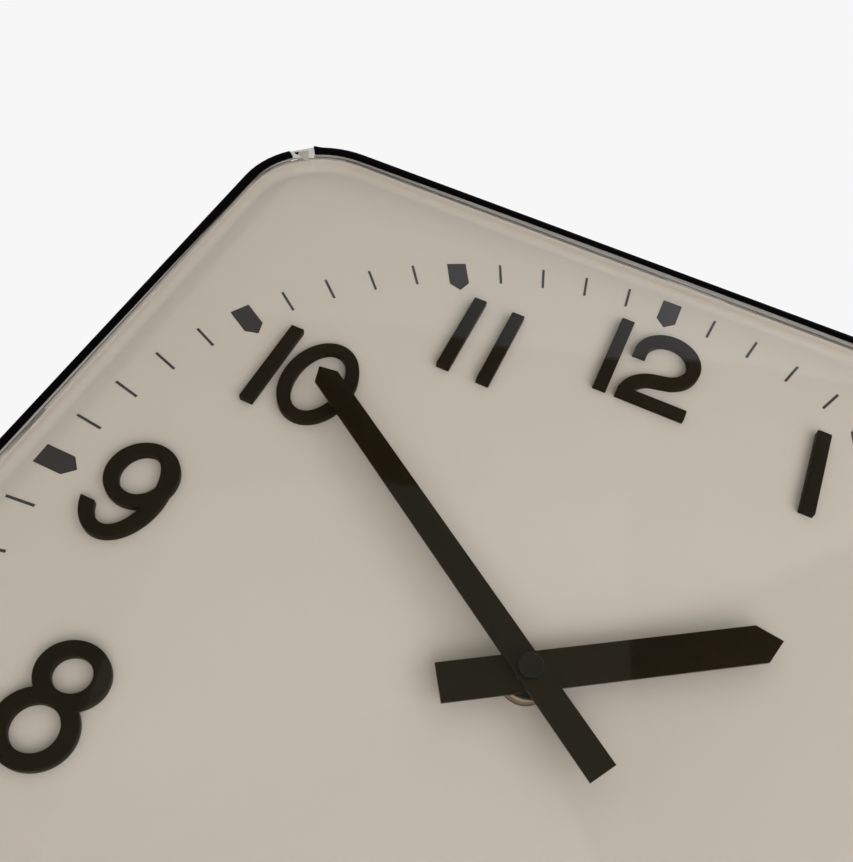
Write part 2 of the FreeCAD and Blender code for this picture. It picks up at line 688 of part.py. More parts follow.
def numerals():
    """The fifteen loose digits, by name."""
    digits = {1: digit_one, 2: digit_two, 3: digit_three, 4: digit_four, 5: digit_five, 6: digit_six,
              7: digit_seven, 8: digit_eight, 9: digit_nine}
    pieces = {f"numeral_{hour}": numeral(hour, make()) for hour, make in digits.items()}
    zero_width = 2 * ZERO_HALF_WIDTH_SHARE * NUMERAL_HEIGHT
    two_width = 2 * TWO_HALF_WIDTH_SHARE * NUMERAL_HEIGHT
    ten = (BAR_WIDTH + TEN_GAP + zero_width) / 2
    twelve = (BAR_WIDTH + TWELVE_GAP + two_width) / 2
    pieces["numeral_10_one"] = numeral(10, digit_one(), BAR_WIDTH / 2 - ten)
    pieces["numeral_10_zero"] = numeral(10, digit_zero(), ten - zero_width / 2)
    pieces["numeral_11_left"] = numeral(11, digit_one(), -ELEVEN_SPACING / 2)
    pieces["numeral_11_right"] = numeral(11, digit_one(), ELEVEN_SPACING / 2)
    pieces["numeral_12_one"] = numeral(12, digit_one(), BAR_WIDTH / 2 - twelve)
    pieces["numeral_12_two"] = numeral(12, digit_two(), twelve - two_width / 2)
    return pieces


def rear_case():
    """A tapered tray with a recessed back, a window for the movement and bosses for the hanger."""
    slope = (NECK_HALF - FOOT_HALF) / FLANGE_BACK
    inner_foot = FOOT_HALF + slope * PANEL_FRONT - CASE_WALL
    inner_neck = FOOT_HALF + slope * TRAY_DEPTH - CASE_WALL
    tray = tapered_block(FOOT_HALF, NECK_HALF, 0, FLANGE_BACK)
    tray = tray.fuse(square_plate(STACK_HALF, FLANGE_BACK, TRAY_DEPTH))
    tray = tray.cut(tapered_block(inner_foot, inner_neck, PANEL_FRONT, TRAY_DEPTH))
    tray = tray.cut(square_plate(FOOT_HALF - REAR_RIM_WIDTH, -OVERRUN, PANEL_RECESS))
    left, right, low, high = housing_sides()
    rib = WINDOW_MARGIN + WINDOW_RIB_WIDTH
    rib_front = PANEL_FRONT + WINDOW_RIB_HEIGHT
    frame = block(left - rib, right + rib, low - rib, high + rib, PANEL_RECESS, rib_front)
    bosses = [cylinder(SCREW_RADIUS + BOSS_WALL, PANEL_RECESS, PANEL_RECESS + SCREW_LENGTH, place)
              for place in screw_places()]
    tray = tray.multiFuse([frame] + bosses)
    gap = WINDOW_MARGIN
    window = block(left - gap, right + gap, low - gap, high + gap, -OVERRUN, TRAY_DEPTH)
    screws = [cylinder(SCREW_RADIUS, -OVERRUN, PANEL_RECESS + SCREW_LENGTH - BOSS_WALL / 2, place)
              for place in screw_places()]
    pocket = block(-NAIL_ENTRY_RADIUS - NAIL_POCKET_MARGIN, NAIL_ENTRY_RADIUS + NAIL_POCKET_MARGIN,
                   HANGER_RISE - NAIL_DROP - NAIL_ENTRY_RADIUS - NAIL_POCKET_MARGIN,
                   HANGER_RISE + NAIL_SLOT_RADIUS + NAIL_POCKET_MARGIN, -OVERRUN, PANEL_FRONT + OVERRUN)
    for tool in [window, pocket] + screws:
        tray = tray.cut(tool)
    return tray.removeSplitter()


def screw_places():
    """Where the two hanger screws stand, beside the keyhole."""
    height = HANGER_RISE - NAIL_DROP / 2
    return [(-HANGER_SCREW_SPACING / 2, height), (HANGER_SCREW_SPACING / 2, height)]


def hanger_plate():
    """A flat steel plate with a keyhole: a round way in for the nail's head and a narrow slot above it."""
    back = PANEL_RECESS - HANGER_THICKNESS
    top = HANGER_RISE + HANGER_TOP_MARGIN
    half = HANGER_WIDTH / 2
    plate = block(-half, half, top - HANGER_HEIGHT, top, back, PANEL_RECESS)
    corners = [edge for edge in plate.Edges if edge.BoundBox.YLength > HANGER_THICKNESS / 2]
    plate = plate.makeFillet(HANGER_CORNER, corners)
    front = PANEL_RECESS + OVERRUN
    seat = (0, HANGER_RISE)
    entry = (0, HANGER_RISE - NAIL_DROP)
    slot = block(-NAIL_SLOT_RADIUS, NAIL_SLOT_RADIUS, entry[1], seat[1], back - OVERRUN, front)
    keyhole = united([slot, cylinder(NAIL_SLOT_RADIUS, back - OVERRUN, front, seat),
                      cylinder(NAIL_ENTRY_RADIUS, back - OVERRUN, front, entry)])
    plate = plate.cut(keyhole)
    for place in screw_places():
        plate = plate.cut(cylinder(SCREW_RADIUS + HOLE_CLEARANCE, back - OVERRUN, front, place))
    return plate


def hanger_screws():
    """Two round-headed screws that hold the hanger to the case."""
    back = PANEL_RECESS - HANGER_THICKNESS
    screws = []
    for place in screw_places():
        head = cylinder(SCREW_HEAD_RADIUS, back - SCREW_HEAD_HEIGHT, back, place)
        half = SCREW_SLOT_SHARE * SCREW_RADIUS
        slot = block(place[0] - SCREW_HEAD_RADIUS, place[0] + SCREW_HEAD_RADIUS,
                     place[1] - half, place[1] + half,
                     back - SCREW_HEAD_HEIGHT, back - SCREW_HEAD_HEIGHT / 2)
        shank = cylinder(SCREW_RADIUS, back, PANEL_RECESS + SCREW_LENGTH - BOSS_WALL, place)
        screws.append(head.cut(slot).fuse(shank))
    return Part.makeCompound(screws)


def wall_bumpers():
    """Four soft pads in the corners of the back, level with the rear rim."""
    reach = FOOT_HALF - BUMPER_INSET
    places = [(x, z) for x in (-reach, reach) for z in (-reach, reach)]
    return Part.makeCompound([cylinder(BUMPER_RADIUS, 0, PANEL_RECESS, place) for place in places])


def housing_sides():
    """The left, right, lower and upper sides of the movement, round its battery and its wheels."""
    wheel = tip_radius(HOUR_TEETH, HOUR_WHEEL_MODULE)
    low = battery_height() - BATTERY_RADIUS - BATTERY_CLEARANCE - HOUSING_WALL
    half = (BATTERY_BODY + BATTERY_NUB + SPRING_LENGTH + 2 * CONTACT_THICKNESS) / 2 + HOUSING_WALL
    side = max(half, wheel + HOUSING_WALL)
    high = KNOB[1] + KNOB_RADIUS + KNOB_EDGE
    return -side, side, low, high


def partition_sides():
    """The lower and upper faces of the wall between the battery and the wheels."""
    high = -tip_radius(HOUR_TEETH, HOUR_WHEEL_MODULE) - PARTITION_CLEARANCE
    return high - PARTITION, high


def battery_height():
    """How high the battery's axis lies."""
    return partition_sides()[0] - BATTERY_CLEARANCE - BATTERY_RADIUS


def battery_depth():
    """How deep the battery's axis lies, close behind the movement's front wall."""
    return MOTION_FRONT - BATTERY_CLEARANCE - BATTERY_RADIUS


def housing_shell(back, front):
    """The side walls and the partition between two depths."""
    left, right, low, high = housing_sides()
    wall = HOUSING_WALL
    under, over = partition_sides()
    shell = block(left, right, low, high, back, front)
    shell = shell.cut(block(left + wall, right - wall, low + wall, under, back - OVERRUN, front + OVERRUN))
    return shell.cut(block(left + wall, right - wall, over, high - wall, back - OVERRUN, front + OVERRUN))


def pivot_hole(place, radius, back, front):
    """The hole in which a pivot runs."""
    return cylinder(radius + RUNNING_CLEARANCE, back, front, place)


def movement_front_housing():
    """The front shell, with the threaded bush that passes through the dial."""
    left, right, low, high = housing_sides()
    shell = housing_shell(MOTION_BACK, MOTION_FRONT)
    shell = shell.fuse(block(left, right, low, high, MOTION_FRONT, HOUSING_FRONT))
    shell = shell.fuse(cylinder(THREAD_RADIUS, HOUSING_FRONT, THREAD_FRONT))
    shell = shell.cut(cylinder(THREAD_BORE, MOTION_BACK, THREAD_FRONT + OVERRUN))
    for place, radius in ((MINUTE_WORK, PIVOT_RADIUS), (KNOB, PIVOT_RADIUS)):
        shell = shell.cut(pivot_hole(place, radius, MOTION_BACK, MOTION_FRONT + PIVOT_DEPTH))
    return shell.removeSplitter()


def movement_middle_plate():
    """The plate between the two halves, which carries the stator on posts."""
    left, right, low, high = housing_sides()
    wall = HOUSING_WALL
    plate = block(left, right, low, high, TRAIN_FRONT, MOTION_BACK)
    bay = partition_sides()[0]
    plate = plate.cut(block(left + wall, right - wall, low + wall, bay, TRAIN_FRONT - OVERRUN, MOTION_FRONT))
    stator_front = stator_depth() + STATOR_THICKNESS
    posts = [cylinder(POST_RADIUS, stator_front, TRAIN_FRONT, place) for place in post_places()]
    plate = plate.multiFuse(posts)
    plate = plate.cut(pivot_hole(CENTRE, MINUTE_ARBOR_RADIUS, TRAIN_BACK, MOTION_FRONT))
    plate = plate.cut(pivot_hole(KNOB, KNOB_SHAFT_RADIUS, TRAIN_BACK, MOTION_FRONT))
    for place in (THIRD, SECONDS, INTERMEDIATE, ROTOR):
        plate = plate.cut(pivot_hole(place, PIVOT_RADIUS, TRAIN_FRONT - OVERRUN, TRAIN_FRONT + PIVOT_DEPTH))
    return plate.cut(pivot_hole(MINUTE_WORK, PIVOT_RADIUS, MOTION_BACK - PIVOT_DEPTH, MOTION_FRONT))


def movement_rear_housing():
    """The rear shell, open where the battery goes in, with posts for the circuit board."""
    left, right, low, high = housing_sides()
    wall = HOUSING_WALL
    shell = housing_shell(TRAIN_BACK, TRAIN_FRONT)
    back_wall = block(left, right, low, high, HOUSING_BACK, TRAIN_BACK)
    bay = partition_sides()[0]
    bay_cut = block(left + wall, right - wall, low + wall, bay, HOUSING_BACK - OVERRUN, TRAIN_FRONT)
    shell = shell.fuse(back_wall.cut(bay_cut))
    board_left, board_right, board_low, board_high = board_sides()
    inset = POST_RADIUS + BOARD_MARGIN
    for x in (board_left + inset, board_right - inset):
        for z in (board_low + inset, board_high - inset):
            shell = shell.fuse(cylinder(POST_RADIUS, HOUSING_BACK, TRAIN_BACK + BOARD_LIFT, (x, z)))
    shell = shell.cut(pivot_hole(KNOB, KNOB_SHAFT_RADIUS, HOUSING_BACK - OVERRUN, TRAIN_FRONT))
    for place in (CENTRE, THIRD, SECONDS, INTERMEDIATE, ROTOR):
        shell = shell.cut(pivot_hole(place, PIVOT_RADIUS, TRAIN_BACK - PIVOT_DEPTH, TRAIN_BACK + OVERRUN))
    return shell.removeSplitter()


def toothed(teeth, module, back, front, place, phase):
    """A wheel with straight-sided teeth, one of them at the phase angle from the right, anticlockwise."""
    radius = pitch_radius(teeth, module)
    tip = radius + TOOTH_TIP_SHARE * module
    root = radius - TOOTH_ROOT_SHARE * module
    step = 360 / teeth
    outline = []
    for tooth in range(teeth):
        middle = phase + tooth * step
        outline.append(step_from(place, root, middle - step * TOOTH_ROOT_WIDTH_SHARE / 2))
        outline.append(step_from(place, tip, middle - step * TOOTH_TIP_WIDTH_SHARE / 2))
        outline.append(step_from(place, tip, middle + step * TOOTH_TIP_WIDTH_SHARE / 2))
        outline.append(step_from(place, root, middle + step * TOOTH_ROOT_WIDTH_SHARE / 2))
    return prism(outline, back, front)


def meshed_phase(driver_teeth, driven_teeth, degrees):
    """The phase of a wheel whose neighbour, in the given direction back to it, has a tooth at phase 0."""
    offset = degrees % (360 / driver_teeth)
    return degrees + 180 + offset * driver_teeth / driven_teeth + 180 / driven_teeth


def arbor(place, back, front, radius=ARBOR_RADIUS):
    """A spindle with a thin pivot at each end, between the inner faces of two plates."""
    shaft = cylinder(radius, back + RUNNING_CLEARANCE, front - RUNNING_CLEARANCE, place)
    reach = PIVOT_DEPTH - RUNNING_CLEARANCE
    return shaft.fuse(cylinder(PIVOT_RADIUS, back - reach, front + reach, place))


def train_wheel(place, layer, teeth, module, phase, pinion_layer, pinion_teeth, pinion_module, pinion_phase):
    """A moulded wheel with its pinion and its arbor in one piece."""
    wheel = toothed(teeth, module, layer, layer + WHEEL_THICKNESS, place, phase)
    low = min(layer, pinion_layer - PINION_OVERLAP)
    high = max(layer, pinion_layer + PINION_OVERLAP) + WHEEL_THICKNESS
    pinion = toothed(pinion_teeth, pinion_module, low, high, place, pinion_phase)
    return united([wheel, pinion, arbor(place, TRAIN_BACK, TRAIN_FRONT)])


def third_wheel():
    """The wheel that the centre wheel meets first."""
    pinion_phase = meshed_phase(CENTRE_TEETH, SMALL_PINION_TEETH, THIRD_DEGREES)
    return train_wheel(THIRD, THIRD_LAYER, THIRD_TEETH, THIRD_MODULE, 0.0,
                       CENTRE_LAYER, SMALL_PINION_TEETH, CENTRE_MODULE, pinion_phase)


def seconds_wheel():
    """The wheel that turns once a minute."""
    pinion_phase = meshed_phase(THIRD_TEETH, SMALL_PINION_TEETH, SECONDS_DEGREES)
    return train_wheel(SECONDS, SECONDS_LAYER, SECONDS_TEETH, SECONDS_MODULE, 0.0,
                       THIRD_LAYER, SMALL_PINION_TEETH, THIRD_MODULE, pinion_phase)


def intermediate_wheel():
    """The wheel between the rotor and the seconds wheel."""
    pinion_phase = meshed_phase(SECONDS_TEETH, SMALL_PINION_TEETH, INTERMEDIATE_DEGREES)
    return train_wheel(INTERMEDIATE, ROTOR_LAYER, INTERMEDIATE_TEETH, ROTOR_MODULE, 0.0,
                       SECONDS_LAYER, SMALL_PINION_TEETH, SECONDS_MODULE, pinion_phase)


def rotor_pinion():
    """The motor's pinion on its spindle."""
    phase = meshed_phase(INTERMEDIATE_TEETH, SMALL_PINION_TEETH, ROTOR_DEGREES)
    high = ROTOR_LAYER + WHEEL_THICKNESS + PINION_OVERLAP
    pinion = toothed(SMALL_PINION_TEETH, ROTOR_MODULE, ROTOR_LAYER - PINION_OVERLAP, high, ROTOR, phase)
    return pinion.fuse(arbor(ROTOR, TRAIN_BACK, TRAIN_FRONT))


def rotor_magnet():
    """The round magnet, level with the stator."""
    middle = stator_depth() + STATOR_THICKNESS / 2
    return ring(MAGNET_RADIUS, ARBOR_RADIUS + SEAT_CLEARANCE, middle - MAGNET_LENGTH / 2,
                middle + MAGNET_LENGTH / 2, ROTOR)


def centre_wheel():
    """The wheel that carries the minute arbor round, with a hub in front of it."""
    wheel = toothed(CENTRE_TEETH, CENTRE_MODULE, CENTRE_LAYER, CENTRE_LAYER + WHEEL_THICKNESS, CENTRE, 0.0)
    hub = cylinder(MINUTE_ARBOR_RADIUS + HUB_WALL, CENTRE_LAYER, TRAIN_FRONT - LAYER_GAP)
    return wheel.fuse(hub).cut(cylinder(MINUTE_ARBOR_RADIUS + SEAT_CLEARANCE, TRAIN_BACK, TRAIN_FRONT))


def minute_arbor():
    """The spindle that carries the minute hand, with the pinion that drives the hour wheel."""
    front = MINUTE_HAND_FRONT + CAP_BORE_DEPTH - SEAT_CLEARANCE
    shaft = cylinder(MINUTE_ARBOR_RADIUS, TRAIN_BACK + RUNNING_CLEARANCE, front)
    pivot = cylinder(PIVOT_RADIUS, TRAIN_BACK - PIVOT_DEPTH + RUNNING_CLEARANCE, TRAIN_FRONT)
    cannon = toothed(CANNON_TEETH, MOTION_MODULE, MOTION_BACK + RUNNING_CLEARANCE,
                     CANNON_LAYER + MOTION_WHEEL_THICKNESS, CENTRE, 0.0)
    return united([shaft, pivot, cannon])


def minute_work_wheel():
    """The wheel and pinion beside the hands' axis that slow the hour wheel down."""
    phase = meshed_phase(CANNON_TEETH, MINUTE_WORK_TEETH, MINUTE_WORK_DEGREES)
    wheel = toothed(MINUTE_WORK_TEETH, MOTION_MODULE, CANNON_LAYER, CANNON_LAYER + MOTION_WHEEL_THICKNESS,
                    MINUTE_WORK, phase)
    pinion = toothed(MINUTE_WORK_PINION_TEETH, HOUR_WHEEL_MODULE, CANNON_LAYER,
                     HOUR_LAYER + MOTION_WHEEL_THICKNESS + MOTION_GAP / 2, MINUTE_WORK, 0.0)
    return united([wheel, pinion, arbor(MINUTE_WORK, MOTION_BACK, MOTION_FRONT)])


def hour_wheel():
    """The wheel with the long tube that carries the hour hand."""
    back_to_work = MINUTE_WORK_DEGREES + 180
    phase = meshed_phase(MINUTE_WORK_PINION_TEETH, HOUR_TEETH, back_to_work)
    wheel = toothed(HOUR_TEETH, HOUR_WHEEL_MODULE, HOUR_LAYER, HOUR_LAYER + MOTION_WHEEL_THICKNESS,
                    CENTRE, phase)
    tube = cylinder(HOUR_TUBE_RADIUS, HOUR_LAYER, HOUR_TUBE_FRONT)
    return wheel.fuse(tube).cut(cylinder(HOUR_BORE, MOTION_BACK, HOUR_TUBE_FRONT + OVERRUN))


def setting_knob():
    """The grooved knob at the back that turns the hands, with its long shaft and pinion."""
    radius = KNOB_RADIUS
    floor = radius - KNOB_GROOVE_DEPTH
    profile = ((0, radius), (KNOB_RIDGE_SHARE, radius), (KNOB_RIDGE_SHARE + KNOB_SLOPE_SHARE, floor),
               (1 - KNOB_SLOPE_SHARE, floor))
    outline = []
    for groove in range(KNOB_GROOVES):
        for part, reach in profile:
            outline.append(step_from(KNOB, reach, 360 * (groove + part) / KNOB_GROOVES))
    front = HOUSING_BACK - KNOB_GAP
    grip = prism(outline, front - KNOB_THICKNESS, front)
    work_phase = meshed_phase(CANNON_TEETH, MINUTE_WORK_TEETH, MINUTE_WORK_DEGREES)
    phase = meshed_phase(MINUTE_WORK_TEETH, KNOB_TEETH, KNOB_DEGREES - work_phase) + work_phase
    pinion = toothed(KNOB_TEETH, MOTION_MODULE, MOTION_BACK + RUNNING_CLEARANCE,
                     CANNON_LAYER + MOTION_WHEEL_THICKNESS, KNOB, phase)
    shaft = cylinder(KNOB_SHAFT_RADIUS, front, MOTION_FRONT - RUNNING_CLEARANCE, KNOB)
    pivot = cylinder(PIVOT_RADIUS, front, MOTION_FRONT + PIVOT_DEPTH - RUNNING_CLEARANCE, KNOB)
    return united([grip, pinion, shaft, pivot])


def stator_depth():
    """How deep the stator's back lies: it rests on the coil's core, halfway between the two plates."""
    return TRAIN_BACK + TRAIN_SPACE / 2 + STATOR_THICKNESS / 2


def stator_sides():
    """The left, right, lower and upper sides of the stator."""
    reach = MAGNET_RADIUS + STATOR_GAP + STATOR_MARGIN
    bobbin = ROTOR[0] + BOBBIN_RADIUS + STATOR_GAP
    return ROTOR[0] - reach, bobbin + STATOR_LEG, partition_sides()[1] + BOARD_MARGIN, ROTOR[1] + reach


def post_places():
    """Where the middle plate's posts stand on the stator."""
    left, right, low, high = stator_sides()
    inset = STATOR_LEG / 2
    return [(left + inset, high - inset), (right - inset, high - inset), (right - inset, low + inset)]


def stator():
    """A flat C of soft iron: a broad head round the rotor, a leg beside the coil and a foot."""
    left, right, low, high = stator_sides()
    back = stator_depth()
    front = back + STATOR_THICKNESS
    head_low = ROTOR[1] - (high - ROTOR[1])
    plate = united([
        block(left, right, head_low, high, back, front),
        block(right - STATOR_LEG, right, low, high, back, front),
        block(left, right, low, low + STATOR_FOOT, back, front),
    ])
    return plate.cut(cylinder(MAGNET_RADIUS + STATOR_GAP, back - OVERRUN, front + OVERRUN, ROTOR))


def coil_span():
    """The lower and upper ends of the coil's core."""
    low, high = stator_sides()[2:]
    return low, ROTOR[1] - (high - ROTOR[1]) + STATOR_MARGIN / 2


def coil_core():
    """A flat iron bar that joins the stator's foot to its head."""
    low, high = coil_span()
    half = CORE_WIDTH / 2
    back = stator_depth() - STATOR_THICKNESS
    return block(ROTOR[0] - half, ROTOR[0] + half, low, high, back, stator_depth())


def upright_bar(radius, low, high):
    """A round bar along the coil's axis."""
    depth = TRAIN_BACK + TRAIN_SPACE / 2
    return Part.makeCylinder(radius, high - low, Vector(ROTOR[0], -depth, low), Vector(0, 0, 1))


def bobbin_span():
    """The lower and upper ends of the bobbin, between the stator's foot and head."""
    low = stator_sides()[2] + STATOR_FOOT + RUNNING_CLEARANCE
    return low, coil_span()[1] - STATOR_MARGIN / 2 - RUNNING_CLEARANCE


def bobbin_tube_radius():
    """The radius on which the wire is wound."""
    return CORE_WIDTH / 2 + BOBBIN_TUBE_WALL


def coil_bobbin():
    """A plastic spool on the core."""
    low, high = bobbin_span()
    spool = united([
        upright_bar(bobbin_tube_radius(), low, high),
        upright_bar(BOBBIN_RADIUS, low, low + BOBBIN_FLANGE),
        upright_bar(BOBBIN_RADIUS, high - BOBBIN_FLANGE, high),
    ])
    return spool.cut(coil_core())


def coil_winding():
    """The turns of fine wire, as one thick sleeve."""
    low, high = bobbin_span()
    low, high = low + BOBBIN_FLANGE, high - BOBBIN_FLANGE
    sleeve = upright_bar(BOBBIN_RADIUS - WINDING_CLEARANCE, low, high)
    return sleeve.cut(upright_bar(bobbin_tube_radius(), low, high))


def board_sides():
    """The left, right, lower and upper sides of the circuit board."""
    left = housing_sides()[0] + HOUSING_WALL + BOARD_MARGIN
    low = partition_sides()[1] + BOARD_MARGIN
    return left, left + BOARD_WIDTH, low, low + BOARD_HEIGHT


def board_front():
    """The depth of the circuit board's front face."""
    return TRAIN_BACK + BOARD_LIFT + BOARD_THICKNESS


def circuit_board():
    """The board that carries the chip and the crystal."""
    return block(*board_sides(), TRAIN_BACK + BOARD_LIFT, board_front())


def chip():
    """The square chip at the board's middle."""
    left, right, low, high = board_sides()
    x, z, half = (left + right) / 2, (low + high) / 2, CHIP_SIDE / 2
    return block(x - half, x + half, z - half, z + half, board_front(), board_front() + CHIP_THICKNESS)


def quartz_crystal():
    """The small round can of the crystal, lying above the chip."""
    left, right, low, high = board_sides()
    start = high - BOARD_MARGIN - CRYSTAL_LENGTH
    centre = Vector((left + right) / 2, -board_front() - CRYSTAL_RADIUS, start)
    return Part.makeCylinder(CRYSTAL_RADIUS, CRYSTAL_LENGTH, centre, Vector(0, 0, 1))


def across_bar(radius, left, right):
    """A round bar along the battery's axis."""
    start = Vector(left, -battery_depth(), battery_height())
    return Part.makeCylinder(radius, right - left, start, Vector(1, 0, 0))


def battery_span():
    """The ends of the battery's body: the flat end on the left and the shoulder on the right."""
    right = housing_sides()[1] - HOUSING_WALL - CONTACT_THICKNESS - BATTERY_NUB
    return right - BATTERY_BODY, right


def battery():
    """A round cell with its raised contact."""
    left, right = battery_span()
    body = across_bar(BATTERY_RADIUS, left, right)
    return body.fuse(across_bar(BATTERY_NUB_RADIUS, right, right + BATTERY_NUB))


def contact_plate(left):
    """A thin spring plate against the end of the battery's bay."""
    half = CONTACT_HEIGHT / 2
    depth, height = battery_depth(), battery_height()
    return block(left, left + CONTACT_THICKNESS, height - half, height + half, depth - half, depth + half)


def contact_positive():
    """The flat plate at the raised end of the battery."""
    return contact_plate(housing_sides()[1] - HOUSING_WALL - CONTACT_THICKNESS)


def contact_negative():
    """The plate and the cone-shaped spring at the flat end of the battery."""
    wall = housing_sides()[0] + HOUSING_WALL
    base = wall + CONTACT_THICKNESS
    start = Vector(base, -battery_depth(), battery_height())
    reach = battery_span()[0] - base
    cone = Part.makeCone(SPRING_BASE_RADIUS, SPRING_TIP_RADIUS, reach, start, Vector(1, 0, 0))
    return contact_plate(wall).fuse(cone)


def hand(width, tip, point, tail, hole, back, degrees):
    """A flat pointed hand with a square tail, turned clockwise from twelve."""
    half = width / 2
    outline = [(-half, -tail), (half, -tail), (half, tip - point), (0, tip), (-half, tip - point)]
    blade = prism(outline, back, back + HAND_THICKNESS)
    blade = blade.cut(cylinder(hole, back - OVERRUN, back + HAND_THICKNESS + OVERRUN))
    return turned(blade, degrees)


def hand_bush(bore, neck, flange_width, back):
    """The flanged bush on which a hand is pressed."""
    flange = cylinder(neck + flange_width, back, back + BUSH_FLANGE_HEIGHT)
    front = back + BUSH_FLANGE_HEIGHT + HAND_THICKNESS
    return flange.fuse(cylinder(neck, back, front)).cut(cylinder(bore, back - OVERRUN, front + OVERRUN))


def rounded_disc(radius, back, front, rounding):
    """A disc whose front edge is rounded over."""
    disc = cylinder(radius, back, front)
    rim = [edge for edge in disc.Edges if edge.BoundBox.YLength < rounding
           and abs(edge.BoundBox.YMin + front) < rounding]
    return disc.makeFillet(rounding, rim)


def centre_cap():
    """The small round cap pressed over the end of the minute arbor."""
    cap = rounded_disc(CAP_RADIUS, MINUTE_HAND_FRONT, CAP_FRONT, CAP_ROUNDING)
    bore = MINUTE_ARBOR_RADIUS + SEAT_CLEARANCE
    return cap.cut(cylinder(bore, MINUTE_HAND_FRONT - OVERRUN, MINUTE_HAND_FRONT + CAP_BORE_DEPTH))


def dial_nut():
    """The polished round nut that clamps the movement to the dial."""
    nut = rounded_disc(NUT_RADIUS, WASHER_FRONT, NUT_FRONT, NUT_ROUNDING)
    return nut.cut(cylinder(THREAD_RADIUS + SEAT_CLEARANCE, WASHER_FRONT - OVERRUN, NUT_FRONT + OVERRUN))


def pieces():
    """Every piece of the clock, by name."""
    hole = THREAD_RADIUS + HOLE_CLEARANCE
    shapes = {
        "glass_cover": glass_cover(),
        "edge_trim": edge_trim(),
        "trim_tab": trim_tab(),
        "dial_plate": dial_plate(),
        "minute_ticks": minute_ticks(),
        "hour_markers": hour_markers(),
        "rear_case": rear_case(),
        "hanger_plate": hanger_plate(),
        "hanger_screws": hanger_screws(),
        "wall_bumpers": wall_bumpers(),
        "movement_front_housing": movement_front_housing(),
        "movement_middle_plate": movement_middle_plate(),
        "movement_rear_housing": movement_rear_housing(),
        "dial_nut": dial_nut(),
        "dial_washer": ring(DIAL_WASHER_RADIUS, hole, DIAL_FRONT, WASHER_FRONT),
        "rubber_washer": ring(RUBBER_RADIUS, hole, HOUSING_FRONT, TRAY_DEPTH),
        "hour_hand": hand(HOUR_WIDTH, HOUR_TIP, HOUR_POINT, HOUR_TAIL, HOUR_NECK + SEAT_CLEARANCE,
                          HOUR_HAND_BACK, HOUR_HAND_DEGREES),
        "hour_hand_bush": hand_bush(HOUR_TUBE_RADIUS + SEAT_CLEARANCE, HOUR_NECK, HOUR_FLANGE_WIDTH,
                                    HOUR_BUSH_BACK),
        "minute_hand": hand(MINUTE_WIDTH, MINUTE_TIP, MINUTE_POINT, MINUTE_TAIL, MINUTE_NECK + SEAT_CLEARANCE,
                            MINUTE_HAND_BACK, MINUTE_HAND_DEGREES),
        "minute_hand_bush": hand_bush(MINUTE_ARBOR_RADIUS + SEAT_CLEARANCE, MINUTE_NECK, MINUTE_FLANGE_WIDTH,
                                      MINUTE_BUSH_BACK),
        "centre_cap": centre_cap(),
        "hour_wheel": hour_wheel(),
        "centre_wheel": centre_wheel(),
        "minute_arbor": minute_arbor(),
        "third_wheel": third_wheel(),
        "seconds_wheel": seconds_wheel(),
        "intermediate_wheel": intermediate_wheel(),
        "rotor_magnet": rotor_magnet(),
        "rotor_pinion": rotor_pinion(),
        "minute_work_wheel": minute_work_wheel(),
        "setting_knob": setting_knob(),
        "stator": stator(),
        "coil_core": coil_core(),
        "coil_bobbin": coil_bobbin(),
        "coil_winding": coil_winding(),
        "circuit_board": circuit_board(),
        "chip": chip(),
        "quartz_crystal": quartz_crystal(),
        "battery": battery(),
        "contact_positive": contact_positive(),
        "contact_negative": contact_negative(),
    }
    shapes.update(numerals())
    return shapes


os.makedirs("parts", exist_ok=True)
for name, shape in pieces().items():
    shape.translate(Vector(0, 0, -HANGER_RISE))
    shape.exportStep(f"parts/{name}.step")
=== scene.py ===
"""Looks of a square wall clock with a domed glass, raised numerals and a quartz movement.

Everything is in metres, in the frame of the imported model: X points right and Z up as the dial is read,
the dial faces -Y, and the wall is the plane Y = 0.
"""
from __future__ import annotations

import json
import logging
import math
from collections.abc import Mapping, Sequence
from dataclasses import dataclass, field
from enum import Enum

import bmesh
import bpy
from mathutils import Matrix, Vector

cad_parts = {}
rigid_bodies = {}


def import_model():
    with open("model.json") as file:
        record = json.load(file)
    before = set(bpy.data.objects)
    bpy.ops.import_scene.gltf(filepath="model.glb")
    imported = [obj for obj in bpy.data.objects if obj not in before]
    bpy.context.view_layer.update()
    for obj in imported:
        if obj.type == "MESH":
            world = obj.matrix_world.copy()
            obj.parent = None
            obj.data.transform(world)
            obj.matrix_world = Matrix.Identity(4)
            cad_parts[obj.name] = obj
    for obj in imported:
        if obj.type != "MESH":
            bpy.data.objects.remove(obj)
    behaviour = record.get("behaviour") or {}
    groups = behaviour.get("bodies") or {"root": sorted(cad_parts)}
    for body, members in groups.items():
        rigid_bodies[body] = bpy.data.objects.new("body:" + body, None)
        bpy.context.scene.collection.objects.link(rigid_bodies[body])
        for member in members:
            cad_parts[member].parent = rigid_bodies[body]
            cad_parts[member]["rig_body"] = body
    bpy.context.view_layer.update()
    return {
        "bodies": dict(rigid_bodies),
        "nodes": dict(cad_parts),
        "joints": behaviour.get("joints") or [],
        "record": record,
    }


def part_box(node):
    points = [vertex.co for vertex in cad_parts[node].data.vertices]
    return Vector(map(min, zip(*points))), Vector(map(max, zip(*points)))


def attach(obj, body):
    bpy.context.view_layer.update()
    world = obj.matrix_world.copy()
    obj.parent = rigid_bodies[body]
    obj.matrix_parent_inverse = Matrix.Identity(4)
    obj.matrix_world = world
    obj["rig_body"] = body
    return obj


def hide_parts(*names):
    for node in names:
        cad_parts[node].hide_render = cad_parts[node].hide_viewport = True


MM = 0.001
Colour = tuple[float, float, float]
Profile = Sequence[tuple[float, float]]
Piece = bpy.types.Object
Material = bpy.types.Material

